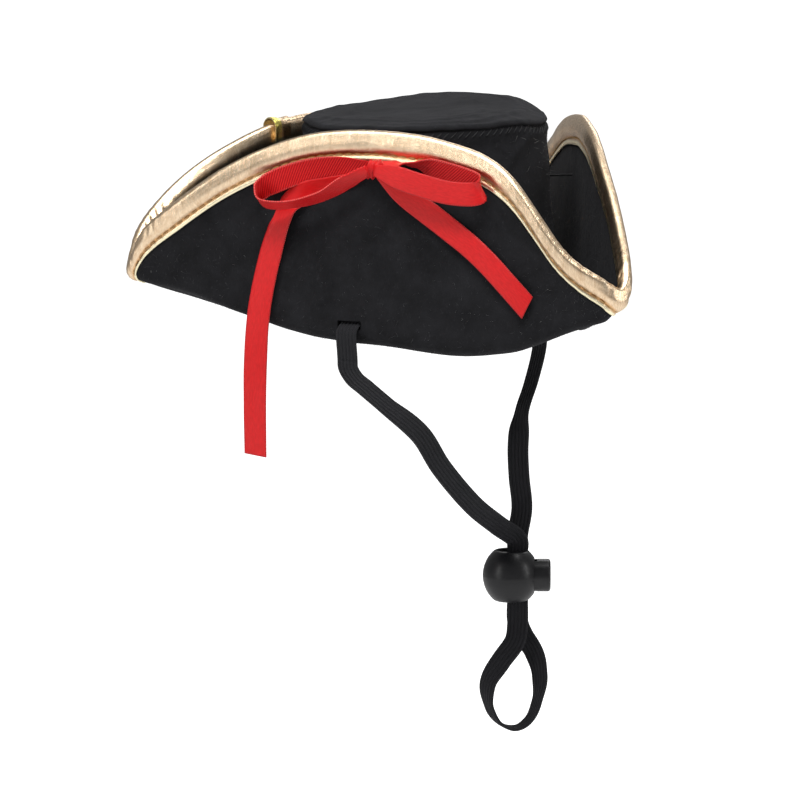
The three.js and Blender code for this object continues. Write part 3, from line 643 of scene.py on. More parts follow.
def build_elastic():
    outline = elastic_section()

    def band(name, route, looks, node):
        frames = band_frames(np.asarray(route), looks, 0.7 * MM)
        piece = sweep_band(name, frames, lambda i, share: outline, [ELASTIC], [0] * len(outline))
        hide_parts(node)
        return piece, frames

    up_out = lambda lift: FLAP_OUT + lift * Z
    right_end, _ = band(
        "elastic_right_end_band",
        [right_at(-0.0038, 0.0170), right_at(-0.0036, 0.0120), right_at(-0.0030, 0.0090),
         right_at(-0.0002, 0.0080), right_at(0.0019, 0.0066), right_at(0.0019, 0.0034),
         right_at(0.0013, 0.0006), right_at(0.0009, -0.0020)],
        [up_out(0), up_out(0.4), up_out(1.6), Z, up_out(0.6), FLAP_OUT, FLAP_OUT, FLAP_OUT],
        "elastic_right_end",
    )
    left_end, _ = band(
        "elastic_left_end_band",
        [left_at(0, 0.0170), left_at(0, 0.0080), left_at(0, -0.0020)],
        [X, X, X],
        "elastic_left_end",
    )
    front, behind, P = LOCK_FRONT, -LOCK_FRONT, PASSAGE_OFFSET
    right_run, right_line = band(
        "elastic_right_strand",
        [right_at(0.0009, -0.0020), right_at(0.0006, -0.0040), on_strap(-0.0455, -0.0075),
         on_strap(-0.0395, -0.0115), on_strap(-0.0310, -0.0170), on_strap(-0.0125, -0.0290),
         on_strap(-0.0025, -0.0400), on_strap(0.0140, -0.0540), on_strap(0.0260, -0.0615),
         at_lock(P, LAYER, -0.0672), at_lock(P, LAYER, -0.0702), at_lock(P, LAYER, -0.0780),
         at_lock(P, LAYER, LOCK_FOOT)],
        [FLAP_OUT] * 5 + [front] * 8,
        "elastic_right_run",
    )
    left_run, left_line = band(
        "elastic_left_strand",
        [left_at(0, -0.0020), on_strap(0.0472, -0.0100), on_strap(0.0430, -0.0200), on_strap(0.0385, -0.0280),
         on_strap(0.0365, -0.0380), on_strap(0.0370, -0.0480), on_strap(0.0385, -0.0580),
         at_lock(P, -0.00225, -0.0662), at_lock(P, -LAYER, -0.0702), at_lock(P, -LAYER, -0.0780),
         at_lock(P, -LAYER, LOCK_FOOT)],
        [X] * 4 + [behind] * 7,
        "elastic_left_run",
    )

    def turned(a, b, z):
        return a * LOCK_ACROSS + b * LOCK_FRONT + z * Z

    loop, loop_line = band(
        "elastic_chin_loop",
        [at_lock(P, LAYER, LOCK_FOOT), at_lock(P, LAYER, -0.0930), at_lock(0.0012, 0.0014, -0.0980),
         at_lock(-0.0030, 0.0020, -0.1040), at_lock(-0.0070, 0.0016, -0.1110),
         at_lock(-0.0066, 0.0010, -0.1185), at_lock(-0.0034, 0.0005, -0.1236),
         at_lock(0.0014, 0, -0.1252), at_lock(0.0054, -0.0005, -0.1228),
         at_lock(0.0080, -0.0010, -0.1170), at_lock(0.0088, -0.0016, -0.1090),
         at_lock(0.0070, -0.0020, -0.1020),
         at_lock(0.0036, -0.0016, -0.0965), at_lock(P, -LAYER, -0.0920), at_lock(P, -LAYER, LOCK_FOOT)],
        [front, front, turned(-0.1, 1, 0), turned(-0.4, 1, 0), turned(-0.7, 0.8, 0), turned(-0.9, 0.4, -0.3),
         turned(-0.5, 0.2, -1), turned(0, 0, -1), turned(0.5, -0.2, -1), turned(0.9, -0.4, -0.3),
         turned(0.7, -0.8, 0), turned(0.4, -1, 0), turned(0.1, -1, 0), behind, behind],
        "elastic_loop",
    )
    # The left end goes straight down through the felt, so it starts to turn only below the felt.
    for piece, exit_point, clear, below in ((right_end, RIGHT_EXIT, 0, 5 * MM),
                                            (left_end, LEFT_EXIT, 4.2 * MM, 9.9 * MM)):
        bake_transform(piece)
    for piece in (right_run, left_run):
        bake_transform(piece)
    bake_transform(loop)
    return right_end, left_end, (right_run, right_line), (left_run, left_line), (loop, loop_line)


# ---------- brim ----------
def column(flap, side, s):
    """The middle of the felt from the head opening to the edge, s = 0 at the flap's centre and 1 at
    its corner. side is +1 towards the flap's plus corner and -1 towards its minus corner."""
    end = flap["plus"] if side > 0 else flap["minus"]
    fold_height = catmull(FOLD_HEIGHTS[end], s) * MM
    edge_height = flap["height"] * MM * catmull(EDGE_SHARES[end], s)
    straight = (FLAP_DISTANCE - CORNER_RADIUS) * math.sqrt(3)
    turn = max(0.0, (s - 1 + CORNER_SHARE) / CORNER_SHARE) * math.pi / 3
    if turn == 0:
        base = (straight * s / (1 - CORNER_SHARE), FLAP_DISTANCE)
    else:
        base = (straight + CORNER_RADIUS * math.sin(turn),
                FLAP_DISTANCE - CORNER_RADIUS + CORNER_RADIUS * math.cos(turn))
    out = np.array([math.cos(turn), side * math.sin(turn), 0])
    wall = np.array([base[1], side * base[0], fold_height])
    seam = about_z(np.array([HEAD_RADIUS, 0, HEAD_HEIGHT]), side * s * math.pi / 3)
    fold = min(FOLD_RADIUS, (edge_height - fold_height) / 2)
    fold_end = wall - fold * out
    points = [seam + (fold_end - seam) * k / FLOOR_ROWS for k in range(FLOOR_ROWS)]
    for k in range(ARC_ROWS):
        angle = math.pi / 2 * k / (ARC_ROWS - 1)
        points.append(wall + fold * (math.sin(angle) - 1) * out + fold * (1 - math.cos(angle)) * Z)
    lean = flap["lean"] * MM * (1 - s)
    flare = flap["flare"] * MM * math.sin(math.pi * min(1, s * s * 1.15)) ** 2
    start = fold_height + fold
    for k in range(1, FLAP_ROWS + 1):
        share = k / FLAP_ROWS
        away = -lean * share + flare * share * share
        points.append(with_height(wall, start + (edge_height - start) * share) + away * out)
    return about_z(np.array(points), math.radians(flap["turn"]))


def normals_of(grid):
    """Outward directions of a grid that is closed along its first axis."""
    around = np.roll(grid, -1, axis=0) - np.roll(grid, 1, axis=0)
    upward = np.gradient(grid, axis=1)
    return unit(np.cross(around, upward))


def soften(grid, passes):
    """Evens out a grid along its closed first axis."""
    for _ in range(passes):
        grid = (np.roll(grid, 1, axis=0) + 2 * grid + np.roll(grid, -1, axis=0)) / 4
    return grid


def brim_grid():
    columns = []
    for name in ("right", "left", "back"):
        for i in range(-STEPS_PER_HALF, STEPS_PER_HALF):
            columns.append(column(FLAPS[name], 1 if i >= 0 else -1, abs(i) / STEPS_PER_HALF))
    grid = soften(np.array(columns), 8)
    out = normals_of(grid)
    rows = grid.shape[1]
    slit = RIGHT_EXIT + 2.5 * MM * Z
    for c in range(grid.shape[0]):
        for r in range(2, rows):
            p = grid[c, r]
            hold = smoothstep(0, 8, r) * (1 - 0.6 * smoothstep(rows - 9, rows - 1, r))
            swell = 0.55 * MM * waver(p, 26 * MM, 3.1) + 0.22 * MM * waver(p, 9 * MM, 8.4)
            lip = 0.7 * MM * math.exp(-np.sum(((p - slit) / (5 * MM)) ** 2))
            grid[c, r] += out[c, r] * (swell * hold + lip)
    return grid


def build_brim(grid, out):
    columns, rows = grid.shape[:2]
    outer = grid + out * FELT / 2
    inner = grid - out * FELT / 2
    rings = np.concatenate([inner, outer[:, ::-1]], axis=1)
    faces = grid_faces(columns, 2 * rows, closed_columns=True, closed_rows=True)
    piece = make_piece("brim_felt", rings.reshape(-1, 3), faces, [FELT_LOOK])
    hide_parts("brim")
    cut_away(piece, [
        box_shape(RIGHT_EXIT + 0.35 * MM * Z, (11 * MM, ELASTIC_WIDTH + 0.9 * MM, ELASTIC_CLOTH + 1.5 * MM),
                  math.radians(FLAPS["right"]["turn"])),
        box_shape(LEFT_EXIT, (ELASTIC_CLOTH + 0.9 * MM, ELASTIC_WIDTH + 0.7 * MM, 11 * MM), 0),
    ], 50)
    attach(piece, "hat")
    return piece


def box_shape(centre, size, turn):
    """Points and faces of a box with its X axis turned about Z."""
    points = [about_z(np.array([x, y, z]) * np.array(size) / 2, turn) + centre
              for x in (-1, 1) for y in (-1, 1) for z in (-1, 1)]
    return points, [(0, 1, 3, 2), (4, 6, 7, 5), (0, 4, 5, 1), (2, 3, 7, 6), (0, 2, 6, 4), (1, 5, 7, 3)]


def cut_away(piece, shapes, sharp):
    """Takes the shapes out of a piece, and keeps its edges crisp past an angle in degrees."""
    cutters = []
    for k, (points, faces) in enumerate(shapes):
        cutter = make_piece(f"cutter_{k}", points, faces, [])
        cutter.data.polygons.foreach_set("use_smooth", [True] * len(cutter.data.polygons))
        modifier = piece.modifiers.new("cut", "BOOLEAN")
        modifier.operation, modifier.solver, modifier.object = "DIFFERENCE", "EXACT", cutter
        cutters.append(cutter)
    bpy.context.view_layer.update()
    evaluated = piece.evaluated_get(bpy.context.evaluated_depsgraph_get())
    mesh = bpy.data.meshes.new_from_object(evaluated)
    piece.modifiers.clear()
    piece.data = mesh
    mark_sharp(mesh, sharp)
    for cutter in cutters:
        bpy.data.objects.remove(cutter)


# ---------- crown ----------
CROWN_TILT = 0.036
PINCH_TOP = from_side(31.8 * MM, 18.9 * MM, 63 * MM)
PINCH_FOOT = from_side(22.0 * MM, 30.0 * MM, 51 * MM)


def crown_settle(p):
    """How the crown's top has tilted, rising to the right as the hat is seen from its usual side."""
    u, w = float(p @ RIGHTWARD), float(p @ TOWARD)
    puff = 1.9 * MM * math.exp(-((u - 14 * MM) / (20 * MM)) ** 2 - ((w + 22 * MM) / (18 * MM)) ** 2)
    slump = 2.4 * MM * smoothstep(25 * MM, 37 * MM, u)
    return ((CROWN_TILT * u - slump) * smoothstep(25 * MM, 62 * MM, p[2])
            + puff * smoothstep(50 * MM, 65 * MM, p[2]))


def near_line(p, a, b):
    """Distance of p from the stretch of line between a and b."""
    along = b - a
    share = np.clip((p - a) @ along / (along @ along), 0, 1)
    return float(np.linalg.norm(p - a - share * along))


def crown_grid():
    """The outside of the crown's side, from its foot to the seam at the tip."""
    foot, top = HEAD_HEIGHT + FELT / 2 + 0.3 * MM, CROWN_TOP - FELT - 0.3 * MM
    foot_radius = HEAD_RADIUS - 0.4 * MM
    around, rows = 200, 44
    grid = np.zeros((around, rows, 3))
    for c in range(around):
        angle = 2 * math.pi * c / around
        way = np.array([math.cos(angle), math.sin(angle), 0])
        for r in range(rows):
            share = r / (rows - 1)
            z = foot + (top - foot) * share
            radius = catmull([foot_radius, 39.4 * MM, 38.1 * MM, 37.2 * MM, CROWN_RADIUS], share)
            p = radius * way + z * Z
            free = smoothstep(0, 0.2, share) * smoothstep(1.0, 0.93, share)
            sag = 0.55 * MM * waver(p, 18 * MM, 1.7) + 0.25 * MM * waver(p, 7 * MM, 5.2)
            roll = 0.5 * MM * math.exp(-((share - 0.955) / 0.03) ** 2)
            tuck = 0.5 * MM * smoothstep(0.965, 1.0, share)
            pinch = 0.9 * MM * math.exp(-(near_line(p, PINCH_TOP, PINCH_FOOT) / (1.5 * MM)) ** 2)
            p += way * (sag * free + roll - tuck + pinch * smoothstep(1.0, 0.9, share))
            p[2] += crown_settle(p)
            grid[c, r] = p
    return grid


def build_crown_side():
    outer = crown_grid()
    out = normals_of(outer)
    inner = outer - out * (FELT - 0.1 * MM)
    around, rows = outer.shape[:2]
    rings = np.concatenate([inner, outer[:, ::-1]], axis=1)
    faces = grid_faces(around, 2 * rows, closed_columns=True, closed_rows=True)
    piece = make_piece("crown_side_felt", rings.reshape(-1, 3), faces, [FELT_LOOK])
    stand_in(piece, "crown_side")
    return piece, outer, out


def tip_height(x, y):
    """The crown tip's upper face: a shallow dome with soft folds that follow its rim."""
    radius = math.hypot(x, y)
    share = radius / CROWN_RADIUS
    p = np.array([x, y, 0])
    u, w = float(p @ RIGHTWARD), float(p @ TOWARD)
    z = CROWN_TOP - 0.3 * MM - 0.5 * MM * share ** 4
    z += 0.6 * MM * waver(p, 16 * MM, 4.4) + 0.2 * MM * waver(p, 6 * MM, 9.3)
    angle = math.atan2(w, u)
    gathers = math.sin(angle * 31 + 2.5 * waver(p, 15 * MM, 6.0))
    z += 0.13 * MM * gathers * smoothstep(0.62, 0.9, share) * (0.5 + 0.5 * waver(p, 12 * MM, 2.0))
    for place, height, centre, reach in (
        (0.86, 0.75, 0.9, 0.9), (0.70, 0.55, 1.2, 0.7), (0.52, 0.45, 0.5, 0.8),
        (0.80, 0.55, 2.6, 0.6), (0.62, 0.4, 3.4, 0.7), (0.75, 0.6, -0.6, 0.6),
    ):
        apart = (angle - centre + math.pi) % (2 * math.pi) - math.pi
        wander = place + 0.05 * math.sin(3 * apart)
        z += height * MM * math.exp(-((share - wander) / 0.035) ** 2) * math.exp(-(apart / reach) ** 2)
    return z


def build_crown_tip():
    around, rings = 200, 46
    points, faces = [], []
    rim = CROWN_RADIUS + 0.55 * MM
    for r in range(rings):
        share = r / (rings - 1)
        radius = rim * share ** 0.8
        for c in range(around):
            angle = 2 * math.pi * c / around
            x, y = radius * math.cos(angle), radius * math.sin(angle)
            z = tip_height(x, y)
            edge = max(0.0, (share ** 0.8 - 0.955) / 0.045)
            z -= 1.15 * MM * (1 - math.sqrt(max(0.0, 1 - edge * edge)))
            p = np.array([x, y, z])
            p[2] += crown_settle(p)
            points.append(p)
    top = np.array(points)
    under = top.reshape(rings, around, 3)[::-1].copy()
    drop = FELT * (0.35 + 0.65 * smoothstep(1.0, 0.93, np.linspace(1, 0, rings) ** 0.8))
    under[:, :, 2] -= drop[:, None]
    under[:2, :, :2] *= 0.985
    rows = np.concatenate([top.reshape(rings, around, 3)[1:], under[:-1]])
    points = [np.array([0, 0, tip_height(0, 0)])] + list(rows.reshape(-1, 3))
    points.append(np.array([0, 0, tip_height(0, 0) - FELT]))
    count = len(rows)
    for r in range(count - 1):
        for c in range(around):
            d = (c + 1) % around
            faces.append((1 + r * around + c, 1 + (r + 1) * around + c,
                          1 + (r + 1) * around + d, 1 + r * around + d))
    last = 1 + (count - 1) * around
    for c in range(around):
        d = (c + 1) % around
        faces.append((0, 1 + c, 1 + d))
        faces.append((len(points) - 1, last + d, last + c))
    piece = make_piece("crown_tip_felt", points, faces, [FELT_LOOK])
    stand_in(piece, "crown_tip")
    return piece


def build_crown_seams(outer, out):
    """Whip stitches round the tip's rim and the head opening, and the upright seam at the back."""
    around, rows = outer.shape[:2]
    stitches = []
    count = 104
    for k in range(count):
        c = int(around * k / count)
        start = outer[c, rows - 3] + out[c, rows - 3] * 0.05 * MM
        end = with_height(outer[(c + 2) % around, rows - 1] * 1.012, start[2] + 1.9 * MM)
        stitches.append(stitch(start, end, out[c, rows - 3] * 0.22 * MM, 0.17 * MM))
    rim = make_piece("crown_tip_stitches", *join_shapes(stitches), [BLACK_THREAD])
    stand_in(rim, "crown_tip_seam")

    stitches = []
    back = [c for c in range(around) if abs(c / around - 0.25) < 0.5 / around][0]
    for r in range(2, rows - 4, 2):
        start = outer[back, r] + out[back, r] * 0.1 * MM - 0.9 * MM * X
        end = outer[back, r + 1] + out[back, r + 1] * 0.1 * MM + 0.9 * MM * X
        stitches.append(stitch(start, end, out[back, r] * 0.25 * MM, 0.2 * MM))
    upright = make_piece("crown_back_stitches", *join_shapes(stitches), [BLACK_THREAD])
    stand_in(upright, "crown_back_seam")

    stitches = []
    count = 116
    for k in range(count):
        angle = 2 * math.pi * k / count
        lean = 2 * math.pi * 0.4 / count
        inside = about_z(np.array([HEAD_RADIUS - 2.6 * MM, 0, HEAD_HEIGHT + 3.6 * MM]), angle)
        below = about_z(np.array([HEAD_RADIUS - 0.9 * MM, 0, HEAD_HEIGHT - 1.0 * MM]), angle + lean)
        lift = about_z(np.array([-0.9 * MM, 0, -0.5 * MM]), angle)
        stitches.append(stitch(inside, below, lift, 0.25 * MM))
    head = make_piece("head_seam_stitches", *join_shapes(stitches), [BLACK_THREAD])
    stand_in(head, "brim_seam")


# ---------- binding ----------
STATION = 0.36 * MM  # between the binding's cross-sections, along the brim's edge
# The strip's outline on one side, as (distance from the edge, height over the felt) in millimetres:
# a thin lip, the stitched groove, and the round main band.
BINDING_SIDE = [(7.55, 0.05), (7.7, 0.24), (7.45, 0.46), (6.95, 0.54), (6.45, 0.46),
                (6.1, 0.26), (5.75, 0.10), (5.4, 0.20), (5.0, 0.50), (4.4, 0.84),
                (3.7, 1.10), (2.9, 1.24), (2.1, 1.20), (1.3, 1.00), (0.6, 0.76)]
GROOVE = 5.6 * MM


def edge_stations(grid, out):
    """Columns of the brim at even steps along its edge, with the distance along at each."""
    edge = grid[:, -1]
    closed = np.vstack([edge, edge[:1]])
    lengths = np.concatenate([[0], np.cumsum(np.linalg.norm(np.diff(closed, axis=0), axis=1))])
    count = int(lengths[-1] / STATION)
    at = np.linspace(0, lengths[-1], count, endpoint=False)
    place = np.interp(at, lengths, np.arange(len(lengths)))
    low = place.astype(int) % len(grid)
    high = (low + 1) % len(grid)
    share = (place - place.astype(int))[:, None, None]
    return (grid[low] * (1 - share) + grid[high] * share,
            unit(out[low] * (1 - share) + out[high] * share), at)


class EdgeColumn:
    """One column seen from the edge down: a point at any distance below the edge, lifted off the felt."""

    def __init__(self, points, out):
        self.points, self.out = points[::-1], out[::-1]
        steps = np.linalg.norm(np.diff(self.points, axis=0), axis=1)
        self.lengths = np.concatenate([[0], np.cumsum(steps)])
        self.up = unit(self.points[0] - self.points[3])

    def at(self, depth, offset):
        i = int(np.searchsorted(self.lengths, depth, side="right")) - 1
        i = min(i, len(self.points) - 2)
        share = (depth - self.lengths[i]) / (self.lengths[i + 1] - self.lengths[i])
        point = self.points[i] * (1 - share) + self.points[i + 1] * share
        return point + offset * (self.out[i] * (1 - share) + self.out[i + 1] * share)

    def over(self, angle, radius):
        """A point on the roll over the edge, from pi/2 on the outside to -pi/2 inside."""
        return self.points[0] + radius * (math.cos(angle) * self.up + math.sin(angle) * self.out[0])


def corner_nearness(p):
    """1 at a corner of the brim and 0 along its sides."""
    reach = math.hypot(p[0], p[1])
    return float(smoothstep(72 * MM, 84 * MM, reach))


def binding_section(edge_column, v):
    """The closed outline of the gold strip at one station, v along the edge."""
    point = edge_column.points[0]
    tight = corner_nearness(point)
    ripple = math.sin(2 * math.pi * v / (3.4 * MM) + 6 * waver((v, 0, 0), 9 * MM, 1.1))
    ripple *= 0.55 + 0.45 * waver((v, 0, 0), 14 * MM, 2.7)
    outside = (0.012 + 0.10 * tight) * MM * ripple
    inside = (0.04 + 0.4 * tight) * MM * ripple
    wander = 0.22 * MM * waver((v, 0, 0), 11 * MM, 4.0)
    plump = 0.16 * MM * waver((v, 0, 0), 8 * MM, 7.0)
    points, across = [], []

    def side(way, crease):
        row = []
        for depth, height in BINDING_SIDE:
            depth_here = depth * MM + wander * (depth > 4)
            body = height * MM + plump * (height > 0.6) + crease * smoothstep(0, 0.4, height)
            row.append((edge_column.at(depth_here, way * (FELT / 2 + max(body, 0.04 * MM))), way * depth))
        return row

    outer, inner = side(1, outside), side(-1, inside)
    for p, u in outer:
        points.append(p)
        across.append(u)
    roll = FELT / 2 + 0.62 * MM
    for k in range(1, 8):
        angle = math.pi / 2 - math.pi * k / 8
        crease = outside * math.cos(angle / 2) * 0.8
        points.append(edge_column.over(angle, roll + plump * 0.7 + crease))
        across.append(0.3 * math.sin(angle))
    for p, u in reversed(inner):
        points.append(p)
        across.append(u)
    under = FELT / 2 + 0.02 * MM
    for depth in (6.8, 3.4, 0.3):
        points.append(edge_column.at(depth * MM, -under))
        across.append(-depth)
    points.append(edge_column.over(0, under))
    across.append(0)
    for depth in (0.3, 3.4, 6.8):
        points.append(edge_column.at(depth * MM, under))
        across.append(depth)
    return points, across


def build_binding(grid, out):
    stations, directions, at = edge_stations(grid, out)
    edge_columns = [EdgeColumn(p, n) for p, n in zip(stations, directions)]
    points, across = [], []
    for edge_column, v in zip(edge_columns, at):
        ring, places = binding_section(edge_column, v)
        points += ring
        across += places
    count = len(ring)
    faces = grid_faces(len(edge_columns), count, closed_columns=True, closed_rows=True)
    whole = at[-1] + STATION
    uv = []
    for face in faces:
        last = face[0] // count == len(edge_columns) - 1
        for v in face:
            along = whole if last and v < count else at[v // count]
            uv.append((across[v], along / MM))
    piece = make_piece("binding_strip", points, faces, [GOLD], uv=uv)
    stand_in(piece, "brim_binding")
    return edge_columns


def build_binding_stitches(edge_columns):
    for name, node, way in (("binding_outer_stitches", "binding_needle_thread", 1),
                            ("binding_inner_stitches", "binding_bobbin_thread", -1)):
        stitches = []
        step, length = 8, 6
        for k in range(0, len(edge_columns) - step, step):
            ends = [edge_columns[k + n].at(GROOVE, way * (FELT / 2 + 0.14 * MM)) for n in (0, length)]
            lift = way * edge_columns[k].out[0] * 0.2 * MM
            stitches.append(stitch(ends[0], ends[1], lift, 0.2 * MM))
        piece = make_piece(name, *join_shapes(stitches), [GOLD_THREAD])
        stand_in(piece, node)


def build_binding_end(edge_columns):
    """The strip's end on the back flap, folded on the slant and standing a little off the strip below."""
    place = about_z(np.array([FLAP_DISTANCE, 20 * MM, 60 * MM]), math.pi / 2)
    middle = min(range(len(edge_columns)), key=lambda k: np.linalg.norm(edge_columns[k].points[0] - place))
    half, rise = 9, 0.35 * MM
    rows = []
    for k in range(-half, half + 1):
        edge_column = edge_columns[middle + k]
        outline = []
        share = (k + half) / (2 * half)
        lift = rise + 1.3 * MM * smoothstep(0.35, 1.0, share)
        reach = (6.6 - 2.2 * share) * MM
        base = FELT / 2 + 1.0 * MM + lift
        for layer in (0.0, -0.3 * MM):
            ring = [edge_column.at(reach * (1 - n / 6), base + layer - 0.5 * MM * (n < 2))
                    for n in range(6)]
            ring += [edge_column.over(math.pi / 2 - math.pi * n / 8, base + layer) for n in range(1, 8)]
            ring += [edge_column.at(reach * (n + 1) / 6, -(base + layer - 0.5 * MM * (n > 3)))
                     for n in range(6)]
            outline.append(ring)
        rows.append(outline[0] + outline[1][::-1])
    count = len(rows[0])
    points = [p for row in rows for p in row]
    faces = grid_faces(len(rows), count, closed_rows=True)
    for first in (0, (len(rows) - 1) * count):
        for k in range(count // 2 - 1):
            cap = (first + k, first + k + 1, first + count - 2 - k, first + count - 1 - k)
            faces.append(cap if first else cap[::-1])
    uv = [((v % count) * 0.4, (v // count) * 0.4) for face in faces for v in face]
    kinds = [1 if f[0] // count > half else 0 for f in faces]
    piece = make_piece("binding_folded_end", points, faces, [GOLD, GOLD_REVERSE], kinds, uv, sharp=60)
    stand_in(piece, "binding_end_fold")


# ---------- tacks ----------
def wound_bar(start, end, radius, turns):
    """A bar of thread wound round itself."""
    start, end = np.asarray(start), np.asarray(end)
    along = unit(end - start)
    side = unit(np.cross(along, Z + 0.2 * X))
    other = np.cross(along, side)
    route = []
    for k in range(turns * 10 + 1):
        angle = 2 * math.pi * k / 10
        share = k / (turns * 10)
        around = math.cos(angle) * side + math.sin(angle) * other
        route.append(start + (end - start) * share + radius * around)
    return join_shapes([tube(route, radius * 0.42, 5),
                        tube([start, (start + end) / 2, end], radius * 0.85, 8)])


def build_tacks():
    aside, height = 4 * MM, 46 * MM
    for name, flap in FLAPS.items():
        start = about_z(np.array([CROWN_RADIUS + 0.9 * MM, aside, height]), math.radians(flap["turn"]))
        end = about_z(np.array([FLAP_DISTANCE - max(flap["lean"], 0) * MM - FELT / 2, aside, height]),
                      math.radians(flap["turn"]))
        piece = make_piece(f"tack_{name}", *wound_bar(start, end, 0.32 * MM, 14), [BLACK_THREAD])
        stand_in(piece, f"flap_tack_{name}")

    stand = ELASTIC_CLOTH / 2 + 0.3 * MM
    for name, inside, across, spot in (
        ("right", -FLAP_OUT, np.cross(Z, FLAP_OUT), right_at(-0.0038, 0.0140)),
        ("left", -X, Y, left_at(0, 0.0140)),
    ):
        stitches = []
        for k in range(9):
            s = (k / 8 - 0.5) * (ELASTIC_WIDTH - 1 * MM)
            rise = 0.9 * MM if k % 2 else -0.9 * MM
            start = spot + inside * stand + across * s - Z * rise
            stitches.append(stitch(start, start + across * 0.7 * MM + Z * 2 * rise,
                                   inside * 0.2 * MM, 0.16 * MM))
        piece = make_piece(f"bar_tack_{name}", *join_shapes(stitches), [BLACK_THREAD])
        stand_in(piece, f"elastic_{name}_bar_tack")


# ---------- bow ----------
def on_flap(t, z, stand):
    """A place on the right flap's outer face: t towards the front corner, z up, stand off the felt."""
    straight = (FLAP_DISTANCE - CORNER_RADIUS) * math.sqrt(3)
    points = column(FLAPS["right"], 1 if t >= 0 else -1, abs(t) / straight * (1 - CORNER_SHARE))
    flap = points[-FLAP_ROWS - 1:]
    share = np.clip(np.interp(z, flap[:, 2], np.linspace(0, 1, len(flap))), 0, 1)
    spot = np.array([np.interp(share, np.linspace(0, 1, len(flap)), flap[:, k]) for k in range(3)])
    return with_height(spot, z) + (FELT / 2 + stand) * FLAP_OUT


def ribbon_outline(width=RIBBON_WIDTH, cup=0.0, samples=14):
    """A thin ribbon with slightly thicker selvages, satin side first."""
    upper, lower = [], []
    for k in range(samples + 1):
        a = -1 + 2 * k / samples
        thick = RIBBON_CLOTH / 2 * (1 + 0.35 * smoothstep(0.84, 0.95, abs(a)))
        bend = cup * (1 - a * a)
        upper.append((a * width / 2, bend + thick))
        lower.append((a * width / 2, bend - thick))
    return upper + lower[::-1]


def build_ribbon(name, node, places, looks, widths, cups, skew=0.0):
    """A ribbon over the right flap. widths and cups are given at even steps along it."""
    route = [on_flap(t * MM, z * MM, stand * MM) for t, z, stand in places]
    frames = band_frames(route, looks, 0.6 * MM)

    def section(i, share):
        return ribbon_outline(catmull(widths, share) * RIBBON_WIDTH, catmull(cups, share) * MM)

    outline = section(0, 0)
    half = len(outline) // 2
    piece = sweep_band(name, frames, section, [SATIN, RIBBED], [0] * half + [1] * half, skew)
    stand_in(piece, node)
    return piece, frames


